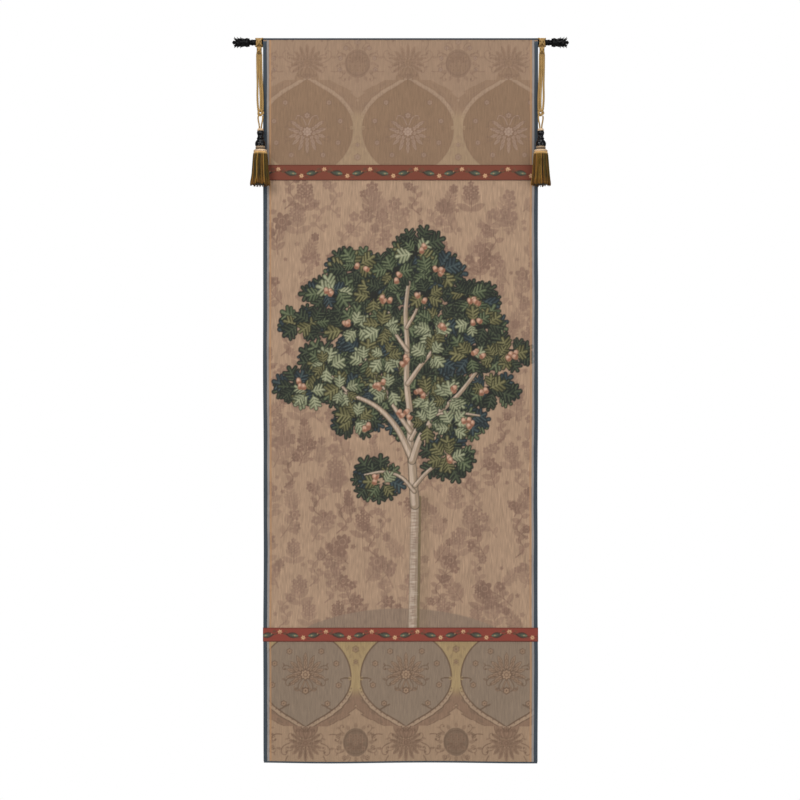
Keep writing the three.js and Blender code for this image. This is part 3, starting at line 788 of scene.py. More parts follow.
def curlingStem(picture, x, z, size, turn, tone):
    # a long stem that winds and carries rounded leaves on both sides
    hand = draw.choice((-1, 1))
    p = [(x + hand * size * a, z + size * b) for a, b in ((0, 0), (0.3, 0.3), (0.1, 0.7), (0.4, 1.05))]
    picture.line(p, 3.4, tone, 2, 0.8)
    path = smoothPath([(a, 0, b) for a, b in p], size * 0.18)
    for i, (a, _, b) in enumerate(path[1:]):
        lean = draw.uniform(0.5, 1.3) * (1 if i % 2 else -1)
        picture.stamp(a, b, size * 0.4, leafShape(size * 0.27, size * 0.17), tone, lean, 0.85)
    picture.stamp(*p[-1], size * 0.3, petals(7, size * 0.17, 0.3), tone, 0, 0.85)
    picture.stamp(*p[-1], size * 0.2, hoop(size * 0.07, 1.5), tones["field"], 0, 0.6)


plants = dict(
    pitch=70.0,
    rowShare=0.86,  # height of a row as a share of the pitch
    columns=11,
    left=-376,
    kinds=((flowerSpray, 0.42), (leafySprig, 0.18), (tieredBloom, 0.16), (curlingStem, 0.24)),
    size=(60, 82),
    lighter=0.65,  # share of plants in the lighter tone
)


def scatterPlants(picture, low, high):
    # the field's tone-on-tone plants, spread on an uneven grid
    pitch = plants["pitch"]
    rise = pitch * plants["rowShare"]
    for row in range(int((high - low) / rise)):
        for column in range(plants["columns"]):
            x = plants["left"] + column * pitch + (row % 2) * pitch / 2 + draw.uniform(-13, 13)
            z = low + 6 + row * rise + draw.uniform(-12, 12)
            kind = draw.choice(len(plants["kinds"]), p=[share for _, share in plants["kinds"]])
            tone = tones["motif"] if draw.random() < plants["lighter"] else tones["motifDark"]
            size = draw.uniform(*plants["size"])
            plants["kinds"][kind][0](picture, x, z, size, draw.uniform(-0.9, 0.9), tone)
            a, b = x + draw.uniform(-40, 40), z + draw.uniform(-30, 30)
            picture.stamp(a, b, 12, petals(5, draw.uniform(5, 8), 0.4), tone, draw.uniform(0, 3), 0.7)


# ---- the ornament of medallions and columns, the same at both ends of the panel ----
ornament = dict(
    pitch=261.0,
    radius=118.0,
    centre=94.0,  # from the ribbon's edge
    point=220.0,
    strap=11.0,
    palmette=58.0,
    # a medallion's half width from its centre level to its point, as shares of the radius
    ogee=(
        (0, 0.15, 0.3, 0.45, 0.6, 0.75, 0.88, 0.96, 1),
        (1, 0.985, 0.93, 0.83, 0.68, 0.46, 0.22, 0.09, 0.03)),
    topFlower=264.0,
    # curls beside the top flower: how far aside, how far above, turn and size
    topCurls=((40, 0, 1.2, 42), (46, 34, 0.5, 38), (30, 62, 0.9, 30), (62, -22, 1.7, 34)),
    fruit=262.0,
    upper=dict(
        ground=(164, 136, 113), medallion=(147, 119, 95), strap=(170, 143, 120), outline=(140, 112, 90),
        braid=(152, 124, 101), flower=(178, 152, 134), flowerDark=(132, 105, 88), bloom=(146, 119, 99),
        golden=(168, 142, 114)),
    lower=dict(
        ground=(168, 140, 115), medallion=(145, 126, 108), strap=(172, 146, 122), outline=(108, 86, 70),
        braid=(142, 114, 94), flower=(172, 144, 118), flowerDark=(110, 86, 70), bloom=(126, 104, 86),
        golden=(172, 148, 108)),
)


def medallionWidth(level):
    # half width of a medallion at a distance from the ribbon: round below, drawn up to a point above
    r = ornament["radius"]
    below = np.sqrt(np.clip(1 - ((ornament["centre"] - level) / r) ** 2, 0, 1))
    share = np.clip((level - ornament["centre"]) / (ornament["point"] - ornament["centre"]), 0, 1)
    return r * np.where(level < ornament["centre"], below, np.interp(share, *ornament["ogee"]))


def beyond(x, z, turn, reach):
    # the place that lies so far off in the direction a leaf with this turn points
    return x - math.sin(turn) * reach, z + math.cos(turn) * reach


def palmette(picture, x, z, up, size, shades, rim):
    # a fan of petals round a small flower, with curls under it
    light, dark = shades["flower"], shades["flowerDark"]
    for count, share, wide in ((11, 1.0, 0.2), (9, 0.72, 0.22), (7, 0.46, 0.24)):
        for k in range(count):
            angle = (k - (count - 1) / 2) * (4.7 / count)
            length = size * share * (1 - 0.12 * abs(math.sin(angle)))
            lean = angle if up > 0 else math.pi - angle
            foot = beyond(x, z, lean, length * 0.5)
            picture.stamp(*foot, length * 0.7, leafShape(length * 0.5, size * wide), dark, lean, rim)
            foot = beyond(x, z, lean, length * 0.56)
            picture.stamp(*foot, length * 0.6, leafShape(length * 0.4, size * wide * 0.66), light, lean, 0.9)
            picture.line([foot, beyond(*foot, lean, length * 0.26)], 1.3, dark, 1, rim)
    picture.stamp(x, z, size * 0.5, petals(8, size * 0.27, 0.3), dark, 0, rim)
    picture.stamp(x, z, size * 0.5, petals(8, size * 0.21, 0.3), light, 0, 0.9)
    picture.stamp(x, z, size * 0.3, hoop(size * 0.09, 1.8), dark, 0, rim)
    for hand in (-1, 1):
        bend = [(x + hand * size * a, z - up * size * b)
                for a, b in ((0.05, 0.3), (0.2, 0.62), (0.42, 0.72), (0.5, 0.55))]
        picture.line(bend, 4.2, dark, 2.4, rim)
        picture.line(bend, 2.0, light, 1.4, 0.8)
        for turn, away, reach in ((1.75, 0.5, 0.62), (2.5, 0.3, 0.6), (1.1, 0.75, 0.42)):
            lean = hand * (turn if up > 0 else math.pi - turn)
            foot = beyond(x, z, -lean, size * away)
            curl(picture, *foot, lean, hand * up, size * reach, dark, rim * 0.9, 2.2)
    rosette(picture, x, z - up * size * 0.72, size * 0.17, shades, rim)


def curl(picture, x, z, turn, hand, size, shade, strength, width=2.6):
    # a stem that leaves at an angle and rolls up at its end, with a leaf on its back
    points = []
    for k in range(9):
        share = k / 8
        angle = turn + hand * 4.6 * share**1.5
        step = size * (0.24 - 0.17 * share)
        points.append((x, z))
        x, z = x + step * math.sin(angle), z + step * math.cos(angle)
    picture.line(points, width, shade, width * 0.7, strength)
    picture.stamp(x, z, width * 3, disc(width * 1.1), shade, 0, strength)
    leaf = leafShape(size * 0.34, size * 0.15)
    picture.stamp(*points[3], size * 0.5, leaf, shade, -(turn - hand * 0.5), strength)


def rosette(picture, x, z, radius, shades, strength):
    picture.stamp(x, z, radius * 2, petals(6, radius, 0.25), shades["flowerDark"], 0, strength)
    picture.stamp(x, z, radius * 2, petals(6, radius * 0.72, 0.25), shades["flower"], 0, strength)
    picture.stamp(x, z, radius, disc(radius * 0.24), shades["flowerDark"], 0, strength)


def pomegranate(picture, x, z, up, shades, strength):
    # a round fruit with a crown, ringed by small leaves
    for k in range(12):
        angle = k * math.pi / 6
        foot = (x - math.sin(angle) * 34, z + math.cos(angle) * 37)
        picture.stamp(*foot, 20, leafShape(14, 9), shades["flowerDark"], angle, 0.55 * strength)
    picture.stamp(x, z, 60, oval(33, 37), shades["bloom"], 0, strength)
    picture.stamp(x, z, 60, hoop(30, 1.8), shades["flowerDark"], 0, 0.7 * strength)
    for row in range(4):
        for k in range(4 - row % 2):
            place = (x + (k - (3 - row % 2) / 2) * 13, z + up * (16 - row * 11))
            picture.stamp(*place, 12, petals(4, 6.2, 0.3), shades["braid"], 0.78, 0.75 * strength)
            picture.stamp(*place, 6, disc(1.7), shades["flowerDark"], 0, 0.7 * strength)
    for k in range(7):
        angle = (k - 3) * 0.42 + (0 if up > 0 else math.pi)
        foot = beyond(x, z, angle, 9)
        picture.stamp(*foot, 26, leafShape(17, 6), shades["flowerDark"], angle, 0.6 * strength)
    for hand in (-1, 1):
        for turn in (0.35, 1.0, 2.2):
            lean = hand * (turn if up > 0 else math.pi - turn)
            foot = (x + math.sin(lean) * 38, z + math.cos(lean) * 41)
            curl(picture, *foot, lean, hand * up, 26, shades["flowerDark"], 0.6 * strength, 2.2)
    for hand in (-1, 1):
        # small flowers lie over the curls
        for a, b in ((44, 14), (46, -16), (30, 40)):
            rosette(picture, x + hand * a, z + up * b, 6.5, shades, 0.7 * strength)


def drawOrnament(picture, edge, up, middle, shades, bold, far):
    # up is 1 where the ornament rises from the ribbon's edge and -1 where it is turned over
    rows = np.nonzero((up * (picture.z - edge) >= 0) & (up * (picture.z - edge) <= far))[0]
    level = up * (picture.z[rows] - edge)[:, None]
    x = picture.x[None, :] - middle
    pitch = ornament["pitch"]
    near = (x + pitch / 2) % pitch - pitch / 2
    slope = (medallionWidth(level + 1) - medallionWidth(level - 1)) / 2
    gap = (np.abs(near) - medallionWidth(level)) / np.sqrt(1 + np.minimum(slope**2, 9))
    tip = np.hypot(near, np.maximum(level - ornament["point"], 0))
    gap = np.where(level > ornament["point"], np.minimum(tip, np.maximum(gap, 0) + 99), gap)
    patch = picture.tone[rows]
    patch[:] = shades["ground"]
    soft = picture.soft

    def lay(mask, shade, strength=1.0):
        patch[:] = patch + (np.array(shade, float) - patch) * (np.clip(mask, 0, 1) * strength)[..., None]

    strap = ornament["strap"]
    waist = smoothStep(150, 118, level)
    lay((0.5 - (gap - strap * 2.9) / soft) * (gap > 0), shades["braid"], 0.85)
    lay((0.5 - (np.abs(gap - strap * 2.9) - 1.2) / soft), shades["outline"], bold * 0.6)
    lay(0.5 - (gap - strap) / soft, shades["strap"])
    lay(waist * (gap > 0), shades["golden"], 0.9)
    lay((0.5 - (np.abs(gap - strap) - 1.1) / soft) * (1 - waist), shades["outline"], 0.5 + 0.5 * bold)
    inside = 0.5 - gap / soft
    lay(inside, shades["medallion"])
    lay(0.5 - (np.abs(gap) - 1.6) / soft, shades["outline"], 0.45 + 0.55 * bold)
    picture.tone[rows] = patch

    def height(value):
        return edge + up * value

    def side(level):
        return float(medallionWidth(np.array(float(level))))

    for k in range(-2, 3):
        x = middle + k * pitch
        heart = height(ornament["centre"] - 8)
        palmette(picture, x, heart, -up, ornament["palmette"], shades, 0.5 + 0.4 * bold)
        for angle, reach in ((0.7, 88), (1.35, 88), (2.0, 88), (2.6, 80)):
            for hand in (-1, 1):
                a, b = x + hand * reach * math.sin(angle), ornament["centre"] + reach * math.cos(angle)
                if b > 14:
                    rosette(picture, a, height(b), 8.5, shades, 0.45 + 0.3 * bold)
        for hand in (-1, 1):
            # hooks that grow inwards from the outline, level low down and sloping higher up
            for level0, slant in ((95, 0), (178, 1)):
                hook = [(x + hand * (side(level0) - inward), height(level0 - drop * slant + lift))
                        for inward, drop, lift in ((0, 0, 0), (16, 9, 0), (27, 18, 3), (23, 20, 9))]
                picture.line(hook, 3.2, shades["outline"], 2, 0.35 + 0.5 * bold)
        top = ornament["topFlower"]
        palmette(picture, x, height(top), up, 50, dict(shades, flower=shades["braid"]), 0.6)
        for hand in (-1, 1):
            for away, rise, turn, size in ornament["topCurls"]:
                lean = hand * turn if up > 0 else math.pi - hand * turn
                curl(picture, x + hand * away, height(top + rise), lean, -hand * up, size,
                     shades["flowerDark"], 0.4 + 0.3 * bold)
            for level0 in range(122, 214, 9):
                a = x + hand * (side(level0) + strap * 0.5)
                picture.stamp(a, height(level0), 8, disc(1.9), shades["outline"], 0, 0.3 + 0.35 * bold)
        post = x + pitch / 2
        pomegranate(picture, post, height(ornament["fruit"]), up, shades, 0.9)
        for hand in (-1, 1):
            # leaves and berries along the column and its branches
            lean = -hand * 0.9 if up > 0 else math.pi + hand * 0.9
            for level0, away, size in ((150, 12, 20), (176, 34, 22), (200, 56, 20)):
                leaf = leafShape(size, size * 0.4)
                picture.stamp(post + hand * away, height(level0), 30, leaf, shades["bloom"], lean, 0.75)
            berry = (post + hand * 15, height(96))
            picture.stamp(*berry, 12, disc(4.6), shades["golden"], 0, 0.9)
            stalk = [berry, (post + hand * 30, height(94))]
            picture.line(stalk, 3, shades["outline"], 2, 0.4 + 0.4 * bold)
            for level0 in (24, 44, 64):
                a = post + hand * (8 + 0.4 * (64 - level0))
                picture.stamp(a, height(level0), 20, leafShape(15, 6), shades["bloom"], hand * 0.5, 0.4)
        for level0, radius, strength in ((20, 10, 0.5), (52, 7, 0.45), (318, 9, 0.4)):
            rosette(picture, post, height(level0), radius, shades, strength)


# ---- the oak ----
oak = dict(
    # leafy boughs, tier by tier: level, left end, right end, how many
    tiers=(
        (-530, 46, 46, 1),
        (-588, -122, 92, 3),
        (-652, -182, 188, 4),
        (-728, -246, 206, 5),
        (-815, -196, 278, 6),
        (-905, -258, 236, 6),
        (-975, -112, 160, 3),
    ),
    clumps=((-62, -1136), (122, -1078)),
    trunk=21.0,  # width
    wide=60.0,  # reach of a bough sideways
    high=38.0,  # and upwards
    leaf=45.0,  # length
    outline=0.8,
    # pairs of lobes on a leaf: how far along, how far out, how round
    lobes=((0.28, 0.74, 0.078), (0.48, 1.0, 0.085), (0.68, 0.9, 0.088)),
    clusters=24,
    # an acorn's edge, nut, light, cup and the cup's rim
    acorn=((112, 80, 64), (192, 148, 122), (214, 176, 152), (164, 114, 90), (126, 88, 70)),
    # a branch's dark edge, bark and lit side
    branch=((78, 70, 58), (166, 144, 122), (206, 184, 164)),
    # each leaf's rim, middle and light
    under=(44, 44, 40),
    dark=((38, 40, 38), (56, 62, 50), (92, 100, 76)),
    blue=((40, 45, 48), (54, 64, 68), (88, 102, 100)),
    olive=((66, 64, 44), (104, 100, 68), (156, 150, 108)),
    green=((52, 58, 44), (84, 94, 70), (134, 140, 106)),
    pale=((96, 100, 76), (144, 148, 116), (200, 198, 166)),
)


def oakLeaf(picture, x, z, turn, kind, size):
    length = size * draw.uniform(0.9, 1.12)
    bones = oakBones(length, length * draw.uniform(0.66, 0.86))
    shade = oakShade(bones, *oak[kind], draw.choice((-1, 1)))
    for grown, fillTone, strength in ((oak["outline"], oak["under"], 0.6), (0.0, shade, 1.0)):
        outline = lambda u, v: nearBones(u, v, bones)[0] - grown
        picture.stamp(x, z, length * 1.1, outline, fillTone, turn, strength)


def acorns(picture, x, z):
    edge, nut, light, shell, rim = oak["acorn"]
    for _ in range(int(draw.integers(2, 5))):
        a, b = x + draw.uniform(-13, 13), z + draw.uniform(-9, 9)
        turn = draw.uniform(-1.2, 1.2)
        picture.stamp(a, b, 18, oval(6.8, 9.2), edge, turn, 0.85)
        picture.stamp(a, b, 18, oval(5.6, 8.0), nut, turn)
        picture.stamp(a - 1, b + 3, 12, oval(3.4, 3.6), light, turn, 0.9)
        cup = (a + math.sin(turn) * 5, b - math.cos(turn) * 5)
        picture.stamp(*cup, 12, oval(6.2, 3.9), shell, turn)
        picture.stamp(*cup, 12, oval(6.2, 1.0), rim, turn, 0.8)


def branch(picture, points, width, endWidth):
    edge, bark, light = oak["branch"]
    picture.line(points, width + 3, edge, endWidth + 2.4, 0.9)
    picture.line(points, width, bark, endWidth)
    lit = [(x - width * 0.18, z + width * 0.12) for x, z in points]
    picture.line(lit, width * 0.5, light, endWidth * 0.6, 0.9)


def crownBoughs():
    # where each bough sits, and how flat it is: the ends of a tier are flatter
    boughs = []
    for level, left, right, count in oak["tiers"]:
        for k in range(count):
            x = left + (right - left) * k / max(count - 1, 1) + draw.uniform(-9, 9) * (0 < k < count - 1)
            flat = 0.6 if k in (0, count - 1) and count > 1 else 1.0
            boughs.append((x, level + draw.uniform(-12, 12), flat))
    return boughs


def ringLeaves(picture, x, z, count, reach, kinds, size, spread=0.35, start=0.0, flat=1.0):
    # leaves that point out of a bough, drawn in a shuffled order
    for k in draw.permutation(count):
        angle = start + 2 * math.pi * (k + draw.uniform(-0.25, 0.25)) / count
        foot = (x + oak["wide"] * reach * math.sin(angle), z + oak["high"] * flat * reach * math.cos(angle))
        angle = math.atan2(math.sin(angle), math.cos(angle) * flat)
        kind = kinds[int(draw.integers(len(kinds)))]
        oakLeaf(picture, *foot, -angle + draw.uniform(-spread, spread), kind, size * draw.uniform(0.88, 1.12))


def drawTrunk(picture):
    # the stem with its cast shadow, shaded side and short cross marks
    course = [(31, -1519), (33, -1420), (35, -1300), (37, -1180), (31, -1110), (28, -1040)]
    shadow = [(x + 13.5, z) for x, z in course[:4]]
    soft = [(x + 27, z) for x, z in course[:4]]
    for width, strength in ((40, 0.10), (30, 0.12), (20, 0.12)):
        picture.line(soft, width, tones["softShadow"], width * 0.8, strength)
    picture.line(shadow, 8.5, tones["oliveShadow"], 7, 0.9)
    picture.line(course, oak["trunk"] + 1.8, tones["barkDark"], oak["trunk"] - 1, 0.8)
    picture.line(course, oak["trunk"], tones["bark"], oak["trunk"] - 3)
    dark = [(x + oak["trunk"] * 0.3, z) for x, z in course]
    picture.line(dark, 6.5, tones["barkShade"], 4.6, 0.75)
    across, levels = zip(*course)
    z = -1514.0
    while z < -1060:
        width = draw.uniform(9, 20)
        x = np.interp(z, levels, across) + draw.uniform(-5, 4)
        tone = tones["barkRung"] if draw.random() < 0.7 else tones["barkPale"]
        mark = oval(width / 2, draw.uniform(0.9, 1.7))
        picture.stamp(x, z, 16, mark, tone, draw.uniform(-0.12, 0.12), 0.75)
        z += draw.uniform(4.2, 8.5)


def drawOak(picture):
    drawTrunk(picture)
    # each limb's course from the trunk outwards, its width there and at its end
    limbs = [
        ([(37, -1200), (31, -1110), (26, -1040), (24, -960), (16, -880), (18, -790), (14, -700), (24, -610)],
         22, 5),
        ([(28, -1075), (-10, -1000), (-62, -945), (-130, -915), (-205, -905)], 17, 5),
        ([(26, -1010), (-14, -950), (-52, -880), (-92, -820)], 12, 4),
        ([(30, -1085), (54, -1020), (96, -965), (150, -915), (196, -858)], 18, 5),
        ([(19, -885), (52, -838), (84, -796), (98, -736)], 12, 4.5),
        ([(18, -800), (-14, -752), (-30, -700)], 10, 3.6),
        ([(96, -965), (140, -960), (205, -968)], 9, 3.6),
        ([(36, -1165), (2, -1128), (-44, -1114), (-92, -1122)], 9, 4),
        ([(37, -1150), (72, -1112), (116, -1084), (146, -1078)], 10, 4),
        ([(16, -740), (42, -692), (50, -650)], 8, 3.4),
        ([(27, -1030), (62, -960), (72, -890)], 10, 4),
        ([(-130, -915), (-176, -868), (-214, -846)], 7, 3),
    ]
    boughs = crownBoughs()
    leaf = oak["leaf"]
    everywhere = boughs + [(*clump, 1.0) for clump in oak["clumps"]]
    for x, z, flat in boughs:
        picture.stamp(x, z, oak["wide"], oval(oak["wide"] * 0.62, oak["high"] * 0.6 * flat), oak["under"])
    kinds = ("dark", "dark", "dark", "blue", "green")
    for x, z, flat in everywhere:
        ringLeaves(picture, x, z, 10, 0.52, kinds, leaf, 0.5, draw.uniform(0, 1), flat)
    for x, z, flat in everywhere:
        x, z = x + draw.uniform(-10, 10), z + draw.uniform(-8, 8)
        kinds = ("dark", "dark", "green", "blue", "olive")
        ringLeaves(picture, x, z, 6, 0.26, kinds, leaf * 0.95, 0.8, 0.0, flat)
    for points, width, endWidth in limbs:
        branch(picture, points, width, endWidth)
    for x, z, flat in everywhere:
        # lit leaves, more of them low in the crown, with the trunk left showing between
        low = smoothStep(-560, -850, z)
        x, z = x + draw.uniform(-16, 16) - 0.08 * (x - 20), z + draw.uniform(-12, 12)
        kinds = ("olive", "green", "pale") if draw.random() < 0.3 + 0.5 * low else ("green", "olive", "dark")
        off = 34 * math.copysign(1, x - 22) if abs(x - 22) < 34 and z < -640 else 0
        ringLeaves(picture, x + off, z, 4, 0.16, kinds, leaf * 0.86, 0.8, draw.uniform(0, 3), flat)
        if draw.random() < 0.3 + 0.6 * low * smoothStep(260, 120, abs(x - 20)):
            ringLeaves(picture, x + off, z - 8, 5, 0.2, ("pale", "pale", "olive"), leaf * 0.82, 0.9, math.pi)
    for k in draw.permutation(len(everywhere))[:oak["clusters"]]:
        x, z, _ = everywhere[k]
        acorns(picture, x + draw.uniform(-22, 22), z + draw.uniform(-14, 20))


def threadStreaks(picture, low, high, strength):
    # short upright threads that lie lighter or darker than the rest
    rows = np.nonzero((picture.z >= low) & (picture.z <= high))[0]
    coarse = draw.normal(size=(len(rows) // 7 + 2, len(picture.x)))
    at = np.linspace(0, coarse.shape[0] - 1.001, len(rows))
    base = at.astype(int)
    share = (at - base)[:, None]
    streak = coarse[base] * (1 - share) + coarse[base + 1] * share
    picture.tone[rows] = picture.tone[rows] * (1 + strength * streak[..., None])


design = dict(
    bounds=(-355.5, 355.5, -1871, 9),  # left, right, foot and top of the cloth
    upperBand=(-318, 1, 19, "upper", 0.15, 330),  # ribbon edge, direction, middle, shades, boldness, reach
    lowerBand=(-1555, -1, 14, "lower", 0.9, 320),
    field=(-1530, -330),
    hillFoot=-1519,
    hillHeight=50,
    hillHalf=244,
    # where threads vary in lightness: from, to and how much
    fieldStreaks=(-1519, -350, 0.042),
    bandStreaks=((-330, 9, 0.022), (-1871, -1555, 0.026)),
    # lines beside the edge tapes: inner and outer edge, and tone
    edgeLines=((341.0, 346.6, "paleLine"), (335.6, 340.0, "tanLine")),
)


def drawPanel(cells):
    picture = ClothPicture(*design["bounds"], cells, tones["field"])
    scatterPlants(picture, *design["field"])
    side = np.abs(picture.x)
    mound = np.clip(1 - (side[None, :] / design["hillHalf"]) ** 2, 0, 1) ** 0.85
    above = picture.z[:, None] - design["hillFoot"] - design["hillHeight"] * mound
    cover = np.clip(0.5 - above / 3, 0, 1) * (side[None, :] < design["hillHalf"])
    whole = slice(None)
    picture.blend(whole, np.array(tones["hill"], float), cover * 0.92)
    drawOak(picture)
    threadStreaks(picture, *design["fieldStreaks"])
    for edge, up, middle, key, bold, far in (design["upperBand"], design["lowerBand"]):
        drawOrnament(picture, edge, up, middle, ornament[key], bold, far)
    for values in design["bandStreaks"]:
        threadStreaks(picture, *values)
    for inner, outer, tone in design["edgeLines"]:
        away = np.abs(side - (inner + outer) / 2) - (outer - inner) / 2
        cover = np.clip(0.5 - away / 1.6, 0, 1) * 0.78
        picture.blend(whole, np.array(tones[tone], float), cover[None, :])
    return picture


# ---- the panel's pieces ----
panel = dict(
    halfWidth=355.5 * mm,
    top=9 * mm,
    foot=-1871 * mm,
    front=-15 * mm,
    back=-13 * mm,
    cells=(374, 990),
    coarse=11,  # fine cells along one side of a cell on the back
    sideTape=9 * mm,
    endTape=3.6 * mm,
    tapeThick=0.6 * mm,
    gap=0.12 * mm,
)
wovenWool = threadCloth(
    "wovenTapestry",
    dict(sheen=0.25, rib=0.0021, weft=0.0016, streakSize=430.0, streakLength=34.0, streak=0.07, threadShade=0.07,
         mottle=0.035, bump=0.5),
    tintName="wovenDesign")
ribbonCloth = threadCloth(
    "wovenRibbon",
    dict(sheen=0.2, rib=0.0016, weft=0.0014, streakSize=500.0, streakLength=200.0, streak=0.05, threadShade=0.08,
         mottle=0.04, bump=0.5),
    tintName="wovenDesign")
slateCloth = threadCloth(
    "slateTape",
    dict(sheen=0.3, rib=0.0012, weft=0.0012, streakSize=300.0, streakLength=120.0, streak=0.1, threadShade=0.1,
         mottle=0.06, bump=0.6),
    baseColour=rgba(66, 76, 85))
liningCloth = threadCloth(
    "liningCotton",
    dict(sheen=0.2, rib=0.0011, weft=0.0011, streakSize=260.0, streakLength=90.0, streak=0.05, threadShade=0.06,
         mottle=0.05, bump=0.4),
    baseColour=rgba(196, 180, 156))


def gridFaces(index):
    # quads over a grid of vertex numbers, rows upwards
    quads = np.stack([index[:-1, :-1], index[:-1, 1:], index[1:, 1:], index[1:, :-1]], -1)
    return quads.reshape(-1, 4)


def warped(points):
    p = np.asarray(points, float).reshape(-1, 3)
    return np.stack(panelWarp(p[:, 0], p[:, 1], p[:, 2]), -1)


def wovenPanel():
    picture = drawPanel(panel["cells"])
    across, up = panel["cells"]
    step = panel["coarse"]
    gx, gz = np.meshgrid(picture.x * mm, picture.z * mm)
    front = np.stack([gx, np.full_like(gx, panel["front"]), gz], -1).reshape(-1, 3)
    index = np.arange((across + 1) * (up + 1)).reshape(up + 1, across + 1)
    faces = gridFaces(index).tolist()
    backPoints, backIndex = [], {}

    def behind(j, i):
        if (j, i) not in backIndex:
            backIndex[j, i] = len(front) + len(backPoints)
            backPoints.append((picture.x[i] * mm, panel["back"], picture.z[j] * mm))
        return backIndex[j, i]

    def run(a, b, edge):
        # the fine vertices along a side that lies on the rim, or only its start
        if not edge:
            return [a]
        n = max(abs(b[0] - a[0]), abs(b[1] - a[1]))
        return [(a[0] + (b[0] - a[0]) * k // n, a[1] + (b[1] - a[1]) * k // n) for k in range(n)]

    for j in range(0, up, step):
        for i in range(0, across, step):
            corners = [(j, i), (j + step, i), (j + step, i + step), (j, i + step)]
            rim = [i == 0, j + step == up, i + step == across, j == 0]
            loop = [c for k in range(4) for c in run(corners[k], corners[(k + 1) % 4], rim[k])]
            faces.append([behind(*c) for c in loop])
    sides = [[(0, i) for i in range(across + 1)], [(j, across) for j in range(up + 1)],
             [(up, i) for i in range(across, -1, -1)], [(j, 0) for j in range(up, -1, -1)]]
    for side in sides:
        for a, b in zip(side[:-1], side[1:]):
            faces.append([int(index[b]), int(index[a]), behind(*a), behind(*b)])
    points = warped(np.vstack([front, backPoints]))
    piece = newPiece("wovenPanel", points, faces, panelPlace, wovenWool, "panel", smooth=False)
    plain = np.tile(colour(*tones["field"]), (len(backPoints), 1))
    addTint(piece, np.vstack([picture.linear().reshape(-1, 3), plain]), "wovenDesign")
    # the front fills most of its map, the back and the rim a strip beside it
    layer = piece.data.uv_layers.new(name="OFBake")
    corner = np.zeros(len(piece.data.loops), np.int32)
    piece.data.loops.foreach_get("vertex_index", corner)
    flat = np.vstack([front, backPoints])[corner]
    u = (flat[:, 0] + panel["halfWidth"]) / (2 * panel["halfWidth"])
    v = (flat[:, 2] - panel["foot"]) / (panel["top"] - panel["foot"])
    totals = np.zeros(len(piece.data.polygons), np.int32)
    piece.data.polygons.foreach_get("loop_total", totals)
    isFront = np.arange(len(totals)) < across * up
    u = np.where(np.repeat(isFront, totals), 0.002 + 0.95 * u, 0.955 + 0.043 * u)
    layer.data.foreach_set("uv", np.stack([u, 0.001 + 0.998 * v], -1).astype(np.float32).ravel())
    piece.data.polygons.foreach_set("use_smooth", isFront.tolist())
    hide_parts("tapestry_cloth")


def foldSection(width):
    # a tape's section as (from the edge inwards, depth), folded round the cloth's edge with soft corners
    thick, gap = panel["tapeThick"], panel["gap"]
    front, back = panel["front"] - gap, panel["back"] + gap
    outer = gap + thick
    return [
        (width, front - thick), (width * 0.5, front - thick), (-outer * 0.3, front - thick),
        (-outer * 0.85, front - thick * 0.55), (-outer, front + 0.4 * mm), (-outer, back - 0.4 * mm),
        (-outer * 0.85, back + thick * 0.55), (-outer * 0.3, back + thick), (width * 0.5, back + thick),
        (width, back + thick), (width, back), (0, back), (-gap, back - 0.2 * mm), (-gap, front + 0.2 * mm),
        (0, front), (width, front)]


def foldedTape(name, node, section, steps, put):
    rings = [[put(across, y, along) for across, y in section] for along in steps]
    tape = Parts()
    tape.addRings(warped(rings).reshape(len(rings), len(section), 3))
    return tape.piece(name, panelPlace, slateCloth, "panel", "edge_tape", node)


def edgeTapes():
    half, top, foot = panel["halfWidth"], panel["top"], panel["foot"]
    end = panel["endTape"]
    for side, word in bothSides:
        steps = np.arange(foot + end, top - end, 7 * mm)

        def put(across, y, z, side=side):
            uneven = 0.35 * mm * math.sin(z * 41 + side) * (across > 6 * mm)
            return (side * (half - across - uneven), y, z)

        piece = foldedTape(f"{word}EdgeTape", f"{word}_edge_tape", foldSection(panel["sideTape"]), steps, put)
    steps = np.linspace(-half, half, 100)
    for word, edge, inward in (("top", top, -1), ("bottom", foot, 1)):
        put = lambda across, y, x: (x, y, edge + inward * across)
        piece = foldedTape(f"{word}EdgeTape", f"{word}_edge_tape", foldSection(end), steps, put)


ribbonDesign = dict(
    # each ribbon's word, top, width, red and sideways shift of its pattern
    places=(("upper", -318, 40, (127, 70, 54), -19), ("lower", -1519, 36, (144, 70, 58), -15)),
    pitch=119,
    half=368,
    vineShare=0.72,  # the vine's darkness against the red
    # leaves laid one over the other: length, width, tone
    leaves=((31, 15, (50, 54, 48)), (25, 9, (80, 98, 84)), (16, 3.6, (132, 140, 112))),
    # small leaves on the vine: how far aside and up, length, width, turn, tone, strength
    small=((40, 6, 9, 5, -0.7, (112, 84, 60), 0.8), (51, 4, 8, 4, 2.2, (100, 92, 64), 0.7)),
    petal=(204, 158, 118),
    petalLight=(224, 190, 150),
    eye=(160, 88, 62),
    sepal=(96, 70, 58),
    berry=(190, 150, 106),
)


